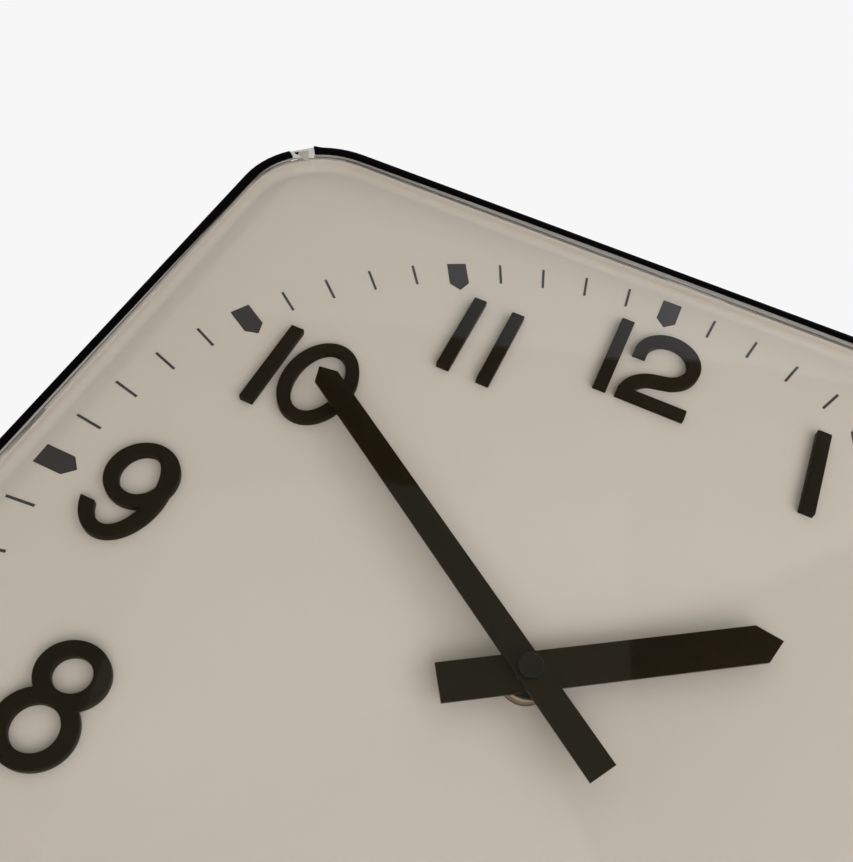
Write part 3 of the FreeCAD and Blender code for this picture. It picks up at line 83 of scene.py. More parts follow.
# Shaping
MERGE_DISTANCE = 0.002 * MM
FLAT_ANGLE = math.radians(0.2)
SHARP_ANGLE = math.radians(38)
SMOOTH_ANGLE = math.radians(40)
RIGHT = Vector((1, 0, 0))
FRONT = Vector((0, -1, 0))
BACK = Vector((0, 1, 0))
UP = Vector((0, 0, 1))

# The length of the battery's raised contact
NUB_LENGTH = 1.3 * MM

# The clouding, the rubbed spots and the grain that every finish has
CLOUD_PITCH = 45 * MM
RUB_PITCH = 9 * MM
RUB_START = 0.56
RUB_END = 0.74
RUB_SHARE = 0.3
RUB_TONE = 2.5
RUB_POLISH = 0.05
GRAIN_ROUGHNESS = 0.10


class Strand:
    """A node value on which sums are written as Python expressions."""

    def __init__(self, nodes: Nodes, socket: bpy.types.NodeSocket) -> None:
        """Keeps the socket and the nodes that it belongs to."""
        self.nodes = nodes
        self.socket = socket

    def __add__(self, other: Strand | float) -> Strand:
        """This value and another together."""
        return self.nodes.maths("ADD", self, other)

    def __sub__(self, other: Strand | float) -> Strand:
        """This value less another."""
        return self.nodes.maths("SUBTRACT", self, other)

    def __rsub__(self, other: float) -> Strand:
        """A number less this value."""
        return self.nodes.maths("SUBTRACT", other, self)

    def __mul__(self, other: Strand | float) -> Strand:
        """This value times another."""
        return self.nodes.maths("MULTIPLY", self, other)

    def __pow__(self, other: float) -> Strand:
        """This value raised to a power."""
        return self.nodes.maths("POWER", self, other)

    __radd__ = __add__
    __rmul__ = __mul__


class Nodes:
    """The nodes of a material or of the world."""

    def __init__(self, owner: Material | bpy.types.World) -> None:
        """Empties the node tree of its owner.

        Args:
            owner: The material or the world.
        """
        owner.use_nodes = True
        self.tree = owner.node_tree
        self.tree.nodes.clear()

    def node(self, kind: str, sockets: Mapping | None = None, **settings: str) -> bpy.types.Node:
        """Adds a node of any type.

        Args:
            kind: The node's type.
            sockets: The values or links of its inputs, by name or number.
            settings: What is set on the node itself, before its sockets.

        Returns:
            The new node.
        """
        node = self.tree.nodes.new(kind)
        for key, value in settings.items():
            setattr(node, key, value)
        for key, value in (sockets or {}).items():
            source = value.socket if isinstance(value, Strand) else value
            if isinstance(source, bpy.types.NodeSocket):
                self.tree.links.new(source, node.inputs[key])
            else:
                node.inputs[key].default_value = source
        return node

    def strand(self, kind: str, sockets: Mapping, output: int | str = 0, **settings: str) -> Strand:
        """Adds a node and returns the value of one of its outputs."""
        return Strand(self, self.node(kind, sockets, **settings).outputs[output])

    def maths(self, operation: str, left: Strand | float, right: Strand | float) -> Strand:
        """One Math node on two values."""
        return self.strand("ShaderNodeMath", {0: left, 1: right}, operation=operation)


class Shader(Nodes):
    """The nodes of one material."""

    def __init__(self, name: str) -> None:
        """Makes an empty material that reads the piece's own coordinates.

        Args:
            name: The material's name.
        """
        self.material = bpy.data.materials.new(name)
        super().__init__(self.material)
        self.output = self.node("ShaderNodeOutputMaterial")
        self.place = self.node("ShaderNodeTexCoord").outputs["Object"]

    def moved(self, scale: Colour, centre: Vector | None = None) -> bpy.types.NodeSocket:
        """The piece's coordinates, counted from a centre and then scaled along each axis."""
        shifted = self.node("ShaderNodeMapping", {"Vector": self.place, "Location": -(centre or Vector())})
        return self.node("ShaderNodeMapping", {"Vector": shifted.outputs[0], "Scale": scale}).outputs[0]

    def noise(self, pitch: float, stretch: Colour = (1, 1, 1), detail: float = 3.0) -> Strand:
        """Soft random spots between 0 and 1.

        Args:
            pitch: The size of a spot in metres.
            stretch: How much tighter the spots lie along each axis.
            detail: How many finer layers are added.

        Returns:
            The value of the noise.
        """
        sockets = {"Vector": self.moved(stretch), "Scale": 1 / pitch, "Detail": detail}
        return self.strand("ShaderNodeTexNoise", sockets)

    def cells(self, pitch: float) -> Strand:
        """The distance from the nearest of many scattered points, in shares of the pitch."""
        return self.strand("ShaderNodeTexVoronoi", {"Vector": self.place, "Scale": 1 / pitch}, "Distance")

    def rings(self, centre: Vector, pitch: float) -> Strand:
        """Fine turned rings round the depth axis through a centre."""
        sockets = {"Vector": self.moved((1, 1, 1), centre), "Scale": 1 / pitch, "Distortion": 0.6,
                   "Detail": 2.0}
        return self.strand("ShaderNodeTexWave", sockets, "Fac", wave_type="RINGS", rings_direction="Y")

    def between(self, value: Strand, low: float, high: float) -> Strand:
        """A value that climbs smoothly from 0 to 1 while another goes from low to high."""
        sockets = {"Value": value, "From Min": low, "From Max": high}
        return self.strand("ShaderNodeMapRange", sockets, interpolation_type="SMOOTHSTEP")

    def along(self, axis: str) -> Strand:
        """The piece's coordinate along X, Y or Z."""
        return self.strand("ShaderNodeSeparateXYZ", {0: self.place}, axis)

    def blend(self, share: Strand | float, first: Strand | Colour, second: Strand | Colour) -> Strand:
        """A mix of two colours."""
        sockets = {0: share, 6: opaque(first), 7: opaque(second)}
        return self.strand("ShaderNodeMix", sockets, 2, data_type="RGBA")

    def raised(self, height: Strand, depth: float) -> bpy.types.NodeSocket:
        """The normal of a surface with a relief of the given depth."""
        return self.node("ShaderNodeBump", {"Distance": depth, "Height": height}).outputs[0]

    def finished(self, node: bpy.types.Node) -> Material:
        """Ends the material in the given shader node and returns it."""
        self.tree.links.new(node.outputs[0], self.output.inputs["Surface"])
        return self.material

    def surface(self, sockets: Mapping) -> Material:
        """Ends the material in one Principled shader and returns it."""
        return self.finished(self.node("ShaderNodeBsdfPrincipled", sockets))


def opaque(colour: Strand | Colour) -> Strand | tuple[float, float, float, float]:
    """A colour with full alpha, or a strand as it is."""
    return colour if isinstance(colour, Strand) else (*colour, 1.0)


class Grain(Enum):
    """The fine relief of a surface."""

    PEEL = "the faint ripple of paint or polished plastic"
    SPARKED = "the fine pits of a textured mould"
    BRUSHED = "fine upright lines"
    TURNED = "fine rings round the hands' axis"


@dataclass(frozen=True)
class Finish:
    """One even material with soft clouding, rubbed spots and a fine relief.

    Attributes:
        colour: The base colour.
        roughness: The middle roughness.
        grain: How the fine relief runs.
        pitch: The size of one grain in metres.
        relief: The depth of the grain in metres.
        metallic: 1 for bare metal.
        tone: How far the colour drifts from its middle, as a share.
        specular: The strength of the plain reflection.
    """

    colour: Colour
    roughness: float
    grain: Grain = Grain.PEEL
    pitch: float = 0.7 * MM
    relief: float = 0.004 * MM
    metallic: float = 0.0
    tone: float = 0.06
    specular: float = 0.5

    def shade(self, factor: float) -> Colour:
        """The base colour made darker or lighter."""
        red, green, blue = (min(1.0, part * factor) for part in self.colour)
        return red, green, blue

    def height(self, shader: Shader) -> Strand:
        """The relief between 0 and 1."""
        if self.grain is Grain.SPARKED:
            return shader.cells(self.pitch) * 0.6 + shader.noise(self.pitch / 2) * 0.4
        if self.grain is Grain.BRUSHED:
            return shader.noise(self.pitch, (12, 12, 0.4))
        if self.grain is Grain.TURNED:
            return shader.rings(hands_axis(), self.pitch) * 0.5 + shader.noise(self.pitch) * 0.3
        return shader.noise(self.pitch)

    def base(self, shader: Shader) -> Strand:
        """The colour all over the piece."""
        cloud = shader.noise(CLOUD_PITCH)
        return shader.blend(cloud, self.shade(1 - self.tone), self.shade(1 + self.tone))

    def material(self, name: str) -> Material:
        """Builds the material under a name.

        Args:
            name: The material's name.

        Returns:
            The material.
        """
        shader = Shader(name)
        fine = self.height(shader)
        rubbed = shader.between(shader.noise(RUB_PITCH, detail=6.0), RUB_START, RUB_END)
        worn = self.shade(1 + RUB_TONE * self.tone)
        return shader.surface({
            "Base Color": shader.blend(rubbed * RUB_SHARE, self.base(shader), worn),
            "Roughness": self.roughness + (fine - 0.5) * GRAIN_ROUGHNESS - rubbed * RUB_POLISH,
            "Metallic": self.metallic,
            "Normal": shader.raised(fine, self.relief),
            "Specular IOR Level": self.specular,
        })


@dataclass(frozen=True)
class DialPaintAndRimShade(Finish):
    """The dial's paint, with painted shade making it a little darker where the plate turns up at its left
    and right.

    Attributes:
        rim_start: Where the painted shade starts, from the middle of the dial.
        rim_end: Where it is full.
        rim_shade: The tone of the painted shade on the rim, as a share of the dial's.
    """

    rim_start: float = 139 * MM
    rim_end: float = 142 * MM
    rim_shade: float = 0.92

    def base(self, shader: Shader) -> Strand:
        """The colour all over the plate, with the painted shade at its left and right rims."""
        low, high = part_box("dial_plate")
        middle = (low + high) / 2
        across = shader.maths("ABSOLUTE", shader.along("X") - middle.x, 0.0)
        # Painted shade: the colour darkens towards the plate's left and right rims, where the turned-up wall
        # would otherwise show brighter than the face.
        rim = shader.between(across, self.rim_start, self.rim_end)
        return shader.blend(rim, super().base(shader), self.shade(self.rim_shade))


@dataclass(frozen=True)
class ClearGlass:
    """Clear glass that lets lamps through and mirrors more at a glancing angle.

    Attributes:
        tint: What share of each colour one face lets through.
        straight: The share that one face mirrors when it is seen square on.
        roughness: The blur of what it mirrors.
    """

    tint: Colour = (0.985, 0.992, 0.985)
    straight: float = 0.04
    roughness: float = 0.015

    def material(self, name: str) -> Material:
        """Builds the material under a name.

        Args:
            name: The material's name.

        Returns:
            The material.
        """
        shader = Shader(name)
        glancing = shader.strand("ShaderNodeLayerWeight", {"Blend": 0.5}, "Facing")
        wiped = shader.noise(30 * MM, (1.0, 1.0, 0.3))
        share = (self.straight + (1 - self.straight) * glancing ** 5) * (0.94 + 0.12 * wiped)
        clear = shader.node("ShaderNodeBsdfTransparent", {"Color": opaque(self.tint)})
        mirror = shader.node("ShaderNodeBsdfPrincipled", {
            "Base Color": (1, 1, 1, 1), "Metallic": 1.0, "Roughness": self.roughness,
        })
        sockets = {0: share, 1: clear.outputs[0], 2: mirror.outputs[0]}
        return shader.finished(shader.node("ShaderNodeMixShader", sockets))


@dataclass(frozen=True)
class BatteryJacket(Finish):
    """A plain printed jacket with a light band near the raised contact and bare metal at both ends.

    Attributes:
        band: The colour of the light band.
        metal: The colour of the bare ends.
        band_length: How long the light band is, from the raised end.
        end_length: How much of each end is bare.
    """

    band: Colour = (0.55, 0.56, 0.58)
    metal: Colour = (0.70, 0.70, 0.71)
    band_length: float = 15 * MM
    end_length: float = 0.6 * MM

    def material(self, name: str) -> Material:
        """Builds the material under a name.

        Args:
            name: The material's name.

        Returns:
            The material.
        """
        shader = Shader(name)
        low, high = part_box("battery")
        across = shader.along("X")
        fine = self.height(shader)
        edge = 0.15 * MM
        band_start = high.x - NUB_LENGTH - self.band_length
        lit = shader.between(across, band_start, band_start + edge)
        shoulder = high.x - NUB_LENGTH - self.end_length
        bare = shader.between(across, shoulder, shoulder + edge)
        foot = low.x + self.end_length
        bare = bare + 1 - shader.between(across, foot, foot + edge)
        printed = shader.blend(lit, self.base(shader), self.band)
        return shader.surface({
            "Base Color": shader.blend(bare, printed, self.metal),
            "Metallic": bare * 0.9,
            "Roughness": self.roughness + (fine - 0.5) * 0.08 - bare * 0.05,
            "Normal": shader.raised(fine, self.relief),
            "Coat Weight": 0.2,
        })


@dataclass(frozen=True)
class WoundWire(Finish):
    """Many turns of fine lacquered wire round an upright spool, with painted shade darkening the grooves
    between turns.
    """

    def material(self, name: str) -> Material:
        """Builds the material under a name.

        Args:
            name: The material's name.

        Returns:
            The material.
        """
        shader = Shader(name)
        sockets = {"Vector": shader.place, "Scale": 1 / self.pitch}
        turns = shader.strand("ShaderNodeTexWave", sockets, "Fac", wave_type="BANDS", bands_direction="Z")
        # Painted shade: the colour falls to half in the low grooves between the turns.
        return shader.surface({
            "Base Color": shader.blend(turns, self.shade(0.5), self.base(shader)),
            "Metallic": 0.8,
            "Roughness": self.roughness + (shader.noise(self.pitch) - 0.5) * 0.1,
            "Normal": shader.raised(turns, self.relief),
        })


FINISHES = {
    "clear_glass": ClearGlass(),
    "trim_black": Finish(
        (0.0011, 0.0011, 0.0012), 0.60, Grain.SPARKED, 0.5 * MM, tone=0.15, specular=0.03),
    "tab_grey": Finish((0.31, 0.30, 0.27), 0.5, tone=0.10),
    "dial_white": DialPaintAndRimShade(
        (0.535, 0.490, 0.430), 0.52, pitch=1.1 * MM, relief=0.003 * MM, tone=0.012, specular=0.35),
    "print_grey": Finish((0.050, 0.047, 0.047), 0.6, pitch=0.3 * MM, tone=0.18),
    "print_black": Finish((0.040, 0.037, 0.037), 0.6, pitch=0.3 * MM, tone=0.18),
    "numeral_black": Finish(
        (0.0142, 0.0112, 0.0063), 0.36, pitch=1.3 * MM, relief=0.005 * MM, tone=0.18, specular=0.05),
    "hand_black": Finish(
        (0.0115, 0.0082, 0.0032), 0.22, pitch=1.6 * MM, relief=0.004 * MM, tone=0.18, specular=0.12),
    "cap_black": Finish(
        (0.0105, 0.0090, 0.0060), 0.30, Grain.TURNED, 0.25 * MM, 0.003 * MM, tone=0.15, specular=0.15),
    "nut_brass": Finish((0.40, 0.33, 0.25), 0.28, Grain.TURNED, 0.12 * MM, 0.003 * MM, metallic=1.0),
    "rubber_black": Finish((0.022, 0.022, 0.023), 0.78, Grain.SPARKED, 0.4 * MM, 0.02 * MM, tone=0.2),
    "case_white": Finish((0.66, 0.64, 0.58), 0.46, Grain.SPARKED, 0.6 * MM, 0.010 * MM, tone=0.03),
    "hanger_steel": Finish((0.56, 0.57, 0.58), 0.34, Grain.BRUSHED, 0.8 * MM, 0.006 * MM, metallic=1.0),
    "housing_black": Finish((0.020, 0.020, 0.021), 0.50, Grain.SPARKED, 0.45 * MM, 0.012 * MM, tone=0.18),
    "wheel_white": Finish((0.74, 0.73, 0.69), 0.42, tone=0.05),
    "knob_plastic": Finish((0.62, 0.61, 0.57), 0.40, Grain.TURNED, 0.3 * MM, 0.004 * MM, tone=0.05),
    "magnet_dark": Finish((0.09, 0.09, 0.10), 0.45, Grain.SPARKED, 0.3 * MM, 0.01 * MM, metallic=0.8),
    "core_iron": Finish((0.38, 0.38, 0.39), 0.42, Grain.BRUSHED, 0.6 * MM, 0.006 * MM, metallic=1.0),
    "winding_copper": WoundWire((0.62, 0.27, 0.11), 0.32, pitch=0.35 * MM, relief=0.05 * MM),
    "board_brown": Finish((0.26, 0.155, 0.060), 0.5, Grain.BRUSHED, 0.7 * MM, 0.006 * MM, tone=0.12),
    "chip_black": Finish((0.018, 0.018, 0.018), 0.55, Grain.SPARKED, 0.25 * MM, 0.008 * MM, tone=0.15),
    "crystal_can": Finish((0.72, 0.72, 0.73), 0.2, Grain.BRUSHED, 0.5 * MM, 0.003 * MM, metallic=1.0),
    "battery_jacket": BatteryJacket((0.035, 0.055, 0.095), 0.33, pitch=0.9 * MM, relief=0.003 * MM),
    "contact_steel": Finish((0.66, 0.66, 0.65), 0.28, Grain.BRUSHED, 0.5 * MM, 0.003 * MM, metallic=1.0),
}

GROUND_EDGE = Finish((0.36, 0.355, 0.34), 0.6, Grain.SPARKED, 0.3 * MM, 0.01 * MM, tone=0.08)
TORN_BACKING = Finish((0.47, 0.47, 0.46), 0.6, tone=0.10)
# Painted shade: a darker copy of the cap's black for its side wall.
CAP_WALL_SHADE = Finish(
    (0.0040, 0.0032, 0.0016), 0.3, Grain.TURNED, 0.25 * MM, 0.003 * MM, tone=0.15, specular=0.1)


def hands_axis() -> Vector:
    """The middle of the minute arbor, on the line about which the hands turn."""
    low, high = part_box("centre_cap")
    return (low + high) / 2


def select_only(piece: Piece) -> None:
    """Leaves one piece selected and active."""
    bpy.ops.object.select_all(action="DESELECT")
    piece.select_set(True)
    bpy.context.view_layer.objects.active = piece


def open_whole() -> None:
    """Opens the active piece in edit mode with all of it selected."""
    bpy.ops.object.mode_set(mode="EDIT")
    bpy.ops.mesh.select_all(action="SELECT")


def smooth(piece: Piece) -> None:
    """Shades a piece smooth over its shallow edges."""
    select_only(piece)
    bpy.ops.object.shade_smooth_by_angle(angle=SMOOTH_ANGLE)


def close_edit(piece: Piece) -> None:
    """Leaves edit mode and shades the piece smooth."""
    bpy.ops.object.mode_set(mode="OBJECT")
    smooth(piece)


def close_shell(piece: Piece) -> None:
    """Turns every face of the edited piece outwards and leaves edit mode."""
    bpy.ops.mesh.select_all(action="SELECT")
    bpy.ops.mesh.normals_make_consistent(inside=False)
    close_edit(piece)


def placed(name: str, data: bpy.types.ID) -> Piece:
    """A new object in the scene, with the given data.

    Args:
        name: The object's name.
        data: Its mesh, curve, light or camera.

    Returns:
        The object.
    """
    piece = bpy.data.objects.new(name, data)
    bpy.context.scene.collection.objects.link(piece)
    return piece


def flat(pair: tuple[float, float]) -> Vector:
    """A point of the dial's plane, given as X and Z in millimetres."""
    return Vector((pair[0], 0, pair[1])) * MM


def settle(piece: Piece, name: str) -> Piece:
    """Names a piece and moves its place, turn and scale into its mesh.

    Args:
        piece: The piece.
        name: Its name.

    Returns:
        The same piece.
    """
    select_only(piece)
    bpy.ops.object.transform_apply(location=True, rotation=True, scale=True)
    piece.name = piece.data.name = name
    return piece


def finish_sides(piece: Piece, finish: Finish, name: str, slope: float = math.inf) -> None:
    """Gives a second finish to the faces that point less far forwards than a slope.

    Args:
        piece: The piece.
        finish: The finish.
        name: The finish's name.
        slope: Without a slope, every face takes the finish.
    """
    piece.data.materials.append(finish.material(name))
    for face in piece.data.polygons:
        if abs(face.normal.y) < slope:
            face.material_index = 1


def round_edges(piece: Piece, width: float, shortest: float = 0.0, segments: int = 3) -> None:
    """Rounds the sharp edges of a piece.

    Args:
        piece: The piece.
        width: How wide the rounding is.
        shortest: Edges shorter than this stay sharp.
        segments: The number of steps across the rounding.
    """
    select_only(piece)
    bpy.ops.object.mode_set(mode="EDIT")
    bpy.ops.mesh.select_mode(type="EDGE")
    bpy.ops.mesh.select_all(action="DESELECT")
    shell = bmesh.from_edit_mesh(piece.data)
    for edge in shell.edges:
        sharp = len(edge.link_faces) == 2 and edge.calc_face_angle() > SHARP_ANGLE
        if sharp and edge.calc_length() > shortest:
            edge.select_set(True)
    bmesh.update_edit_mesh(piece.data)
    bpy.ops.mesh.bevel(offset=width, segments=segments, profile=0.5, affect="EDGES", clamp_overlap=False)
    close_edit(piece)


def turned(name: str, start: Vector, axis: Vector, profile: Profile, points: int = 64) -> Piece:
    """A round piece drawn out ring by ring from a flat disc.

    Args:
        name: The piece's name.
        start: The point on the axis from which the profile counts.
        axis: The direction in which it is drawn out.
        profile: Pairs of radius and distance along the axis, from one end to the other.
        points: The number of points round a ring.

    Returns:
        The piece, closed at both ends.
    """
    radius, reach = profile[0]
    turn = axis.to_track_quat("Z", "X").to_euler()
    bpy.ops.mesh.primitive_circle_add(
        vertices=points, radius=radius, fill_type="NGON", location=start + axis * reach, rotation=turn)
    piece = bpy.context.object
    open_whole()
    for wider, farther in profile[1:]:
        step = axis * (farther - reach)
        bpy.ops.mesh.extrude_region_move(TRANSFORM_OT_translate={"value": step})
        factor = wider / radius
        bpy.ops.transform.resize(value=(factor, factor, factor), center_override=start + axis * farther)
        radius, reach = wider, farther
    close_shell(piece)
    return settle(piece, name)


def bar(name: str, centre: Vector, size: Vector, degrees: float, rounding: float) -> Piece:
    """A straight bar with rounded edges, turned in the plane of the dial.

    Args:
        name: The piece's name.
        centre: The bar's middle.
        size: Its sides along X, Y and Z before it is turned.
        degrees: How far it is turned about the depth axis.
        rounding: The width of its rounded edges.

    Returns:
        The bar.
    """
    bpy.ops.mesh.primitive_cube_add(size=1, location=centre, rotation=(0, math.radians(degrees), 0))
    piece = bpy.context.object
    piece.scale = size
    settle(piece, name)
    round_edges(piece, rounding)
    return piece


def joined(name: str, pieces: Sequence[Piece]) -> Piece:
    """Several loose shapes as one piece.

    Args:
        name: The piece's name.
        pieces: The shapes. The first takes up the others.

    Returns:
        The piece.
    """
    bpy.ops.object.select_all(action="DESELECT")
    for piece in pieces:
        piece.select_set(True)
    bpy.context.view_layer.objects.active = pieces[0]
    if len(pieces) > 1:
        bpy.ops.object.join()
    pieces[0].name = pieces[0].data.name = name
    return pieces[0]


@dataclass
class Workshop:
    """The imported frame, the materials made so far and the way in which a piece is handed over."""

    frame: Mapping
    made: dict[str, Material] = field(default_factory=dict)
    replaced: set[str] = field(default_factory=set)

    def __post_init__(self) -> None:
        """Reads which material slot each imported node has."""
        self.slots = {part["node"]: part["material_slot"] for part in self.frame["record"]["subparts"]}
        self.log = logging.getLogger("clock")

    def material(self, slot: str) -> Material:
        """The material of a slot, built on its first use."""
        if slot not in self.made:
            self.made[slot] = FINISHES[slot].material(slot)
        return self.made[slot]

    def hand_over(self, piece: Piece, slot: str, body: str = "case_set",
                  nodes: Sequence[str] = ()) -> None:
        """Dresses a finished piece and gives it to its body.

        Args:
            piece: The piece.
            slot: Its material slot.
            body: The body that it moves with.
            nodes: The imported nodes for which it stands.
        """
        piece.data.materials.clear()
        piece.data.materials.append(self.material(slot))
        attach(piece, body)
        if nodes:
            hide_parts(*nodes)
            self.replaced.update(nodes)
        self.log.info("%s: %d faces, %s, on %s", piece.name, len(piece.data.polygons), slot, body)

    def soften(self, node: str, name: str, width: float, **limits: float) -> Piece:
        """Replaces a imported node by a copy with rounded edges.

        Args:
            node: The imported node.
            name: The new piece's name.
            width: How wide the rounding is.
            limits: What else round_edges takes.

        Returns:
            The copy, handed over to the node's own body in the node's own slot.
        """
        piece = merged_copy(self.frame["nodes"][node], name)
        round_edges(piece, width, **limits)
        self.hand_over(piece, self.slots[node], self.frame["nodes"][node]["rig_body"], [node])
        return piece

    def dress_nodes(self) -> None:
        """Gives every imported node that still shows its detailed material."""
        for name, node in self.frame["nodes"].items():
            if name in self.replaced:
                continue
            for slot in node.material_slots:
                slot.material = self.material(self.slots[name])
            self.log.info("%s: packed node, %s", name, self.slots[name])


def merged_copy(source: Piece, name: str) -> Piece:
    """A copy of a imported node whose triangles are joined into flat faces.

    Args:
        source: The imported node.
        name: The copy's name.

    Returns:
        The copy.
    """
    piece = placed(name, source.data.copy())
    piece.data.name = name
    select_only(piece)
    bpy.ops.mesh.customdata_custom_splitnormals_clear()
    open_whole()
    bpy.ops.mesh.remove_doubles(threshold=MERGE_DISTANCE)
    bpy.ops.mesh.dissolve_limited(angle_limit=FLAT_ANGLE)
    bpy.ops.object.mode_set(mode="OBJECT")
    return piece


@dataclass
class Assembly:
    """A part of the scene that the workshop helps to build.

    Attributes:
        shop: The workshop, which dresses each piece and hands it over.
    """

    shop: Workshop


@dataclass
class EdgeTrim(Assembly):
    """The black strip round the front, the tab in its gap and the torn corner beside the tab.

    Its points are X and Z in millimetres, from the centre of the case's top left corner.

    Attributes:
        rounding: The rounding of the strip's folds.
        corner_radius: The radius of the case's corners.
        end_degrees: Where the strip's right-hand end lies, about the corner's centre.
        flare: How far that end stands out.
        flare_width: How much of the strip's outer wall stands out.
        tab: The tab's outer left and right corners, then those of its tip.
        scrap: The middle of the small black piece beside the tab.
        scrap_radius: Half its size.
        scrap_thickness: How thick it is.
        scrap_turn: How far it is turned about the depth axis.
        backing: The pale backing's lower left and right corners, then its upper ones.
        backing_depth: How far the backing lies behind the strip's front.
        backing_thickness: How thick it is.
    """

    rounding: float = 0.3 * MM
    corner_radius: float = 30 * MM
    end_degrees: float = 124.7
    flare: float = 0.9 * MM
    flare_width: float = 1.2 * MM
    tab: Profile = ((-20.9, 19.4), (-17.8, 22.2), (-16.3, 16.8), (-15.3, 17.5))
    scrap: tuple[float, float] = (-20.7, 18.9)
    scrap_radius: float = 0.85 * MM
    scrap_thickness: float = 0.8 * MM
    scrap_turn: float = math.radians(25)
    backing: Profile = ((-20.9, 16.4), (-14.5, 20.2), (-23.2, 18.6), (-16.85, 25.3))
    backing_depth: float = 0.35 * MM
    backing_thickness: float = 0.3 * MM

    def corner(self) -> Vector:
        """The centre of the top left corner's arcs."""
        low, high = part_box("edge_trim")
        return Vector((low.x + self.corner_radius, low.y, high.z - self.corner_radius))

    def build(self) -> None:
        """Makes the strip, the tab and the torn corner."""
        centre = self.corner()
        strip = self.shop.soften("edge_trim", "folded_trim", self.rounding, shortest=0.6 * MM)
        for vertex in strip.data.vertices:
            offset = vertex.co - centre
            reach = math.hypot(offset.x, offset.z)
            degrees = math.degrees(math.atan2(offset.z, offset.x))
            share = (reach - self.corner_radius + self.flare_width) / self.flare_width
            if abs(degrees - self.end_degrees) < 1 and share > 0:
                vertex.co += Vector((offset.x, 0, offset.z)).normalized() * self.flare * share
        self.build_tab()
        self.build_scrap()
        self.build_backing()

    def build_tab(self) -> None:
        """Moves the tab's corners, so that it narrows from its outer end to its bent tip."""
        centre = self.corner()
        top_left, top_right, tip_left, tip_right = (flat(pair) for pair in self.tab)
        tab = self.shop.soften("trim_tab", "folded_tab", 0.10 * MM)
        reaches = [math.hypot(v.co.x - centre.x, v.co.z - centre.z) for v in tab.data.vertices]
        turns = [math.atan2(v.co.z - centre.z, v.co.x - centre.x) for v in tab.data.vertices]
        outer, inner, right, left = max(reaches), min(reaches), min(turns), max(turns)
        for vertex, reach, turn in zip(tab.data.vertices, reaches, turns):
            down = (outer - reach) / (outer - inner)
            across = (turn - right) / (left - right)
            top = top_right.lerp(top_left, across)
            place = top.lerp(tip_right.lerp(tip_left, across), down)
            vertex.co.x = centre.x + place.x
            vertex.co.z = centre.z + place.z

    def build_scrap(self) -> None:
        """A small black three-sided piece on the glass beside the tab."""
        place = self.corner() + flat(self.scrap)
        place.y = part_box("edge_trim")[0].y + self.scrap_thickness / 2
        bpy.ops.mesh.primitive_cylinder_add(
            vertices=3, radius=self.scrap_radius, depth=self.scrap_thickness, location=place,
            rotation=(math.pi / 2, self.scrap_turn, 0))
        piece = settle(bpy.context.object, "trim_scrap")
        round_edges(piece, 0.1 * MM, segments=2)
        self.shop.hand_over(piece, "trim_black")

    def build_backing(self) -> None:
        """The pale backing that shows where the strip is torn away."""
        centre = self.corner()
        back = centre.y + self.backing_depth + self.backing_thickness
        bpy.ops.mesh.primitive_plane_add(size=MM)
        piece = settle(bpy.context.object, "torn_backing")
        for vertex, (across, along) in zip(piece.data.vertices, self.backing):
            vertex.co = Vector((centre.x + across * MM, back, centre.z + along * MM))
        open_whole()
        bpy.ops.mesh.extrude_region_move(TRANSFORM_OT_translate={"value": FRONT * self.backing_thickness})
        close_shell(piece)
        self.shop.hand_over(piece, "case_white")
        finish_sides(piece, TORN_BACKING, "torn_backing")


@dataclass
class GlassDome(Assembly):
    """The clear cover: a flat border and a shallow dome.

    Attributes:
        rise: How far the dome's middle stands proud of its border.
        thickness: How thick the glass is.
        border: The width of the flat border at the middle of a side.
        corner_radius: The radius of its corners.
        cells: How many strips the dome is cut into each way.
        edge_slope: Faces whose normals point less far forwards than this belong to the ground edge.
    """

    rise: float = 9 * MM
    thickness: float = 2.5 * MM
    border: float = 2.7 * MM
    corner_radius: float = 28.9 * MM
    cells: int = 56
    edge_slope: float = 0.2

    def build(self) -> None:
        """Cuts a rounded plate into strips and raises its middle."""
        low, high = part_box("glass_cover")
        middle = (low + high) / 2
        half = (high.x - low.x) / 2
        bpy.ops.mesh.primitive_plane_add(
            size=2 * half, location=(middle.x, high.y, middle.z), rotation=(math.pi / 2, 0, 0))
        plate = settle(bpy.context.object, "domed_glass")
        open_whole()
        bpy.ops.mesh.bevel(offset=self.corner_radius, segments=16, profile=0.5, affect="VERTICES")
        bpy.ops.mesh.select_all(action="SELECT")
        bpy.ops.mesh.extrude_region_move(TRANSFORM_OT_translate={"value": FRONT * self.thickness})
        reach = half - self.border
        for axis, start in ((RIGHT, middle.x), (UP, middle.z)):
            for cell in range(self.cells + 1):
                at = start - reach + 2 * reach * cell / self.cells
                bpy.ops.mesh.select_all(action="SELECT")
                bpy.ops.mesh.bisect(plane_co=axis * at, plane_no=axis)
        close_shell(plate)
        for vertex in plate.data.vertices:
            across = (vertex.co.x - middle.x) / reach
            along = (vertex.co.z - middle.z) / reach
            vertex.co.y -= self.rise * max(0.0, 1 - across ** 2) * max(0.0, 1 - along ** 2)
        self.shop.hand_over(plate, "clear_glass", nodes=["glass_cover"])
        finish_sides(plate, GROUND_EDGE, "ground_edge", self.edge_slope)


@dataclass
class Dial(Assembly):
    """The dial plate with its glued-on numerals.

    Attributes:
        rim_rounding: The rounding of the plate's turned-up rim.
        numeral_rounding: The rounding of the numerals' edges.
    """

    rim_rounding: float = 0.35 * MM
    numeral_rounding: float = 0.26 * MM

    def build(self) -> None:
        """Makes the plate and the numerals."""
        self.shop.soften("dial_plate", "dial_face", self.rim_rounding)
        for node in sorted(self.shop.frame["nodes"]):
            if node.startswith("numeral_"):
                self.shop.soften(node, node.replace("numeral", "raised"), self.numeral_rounding)


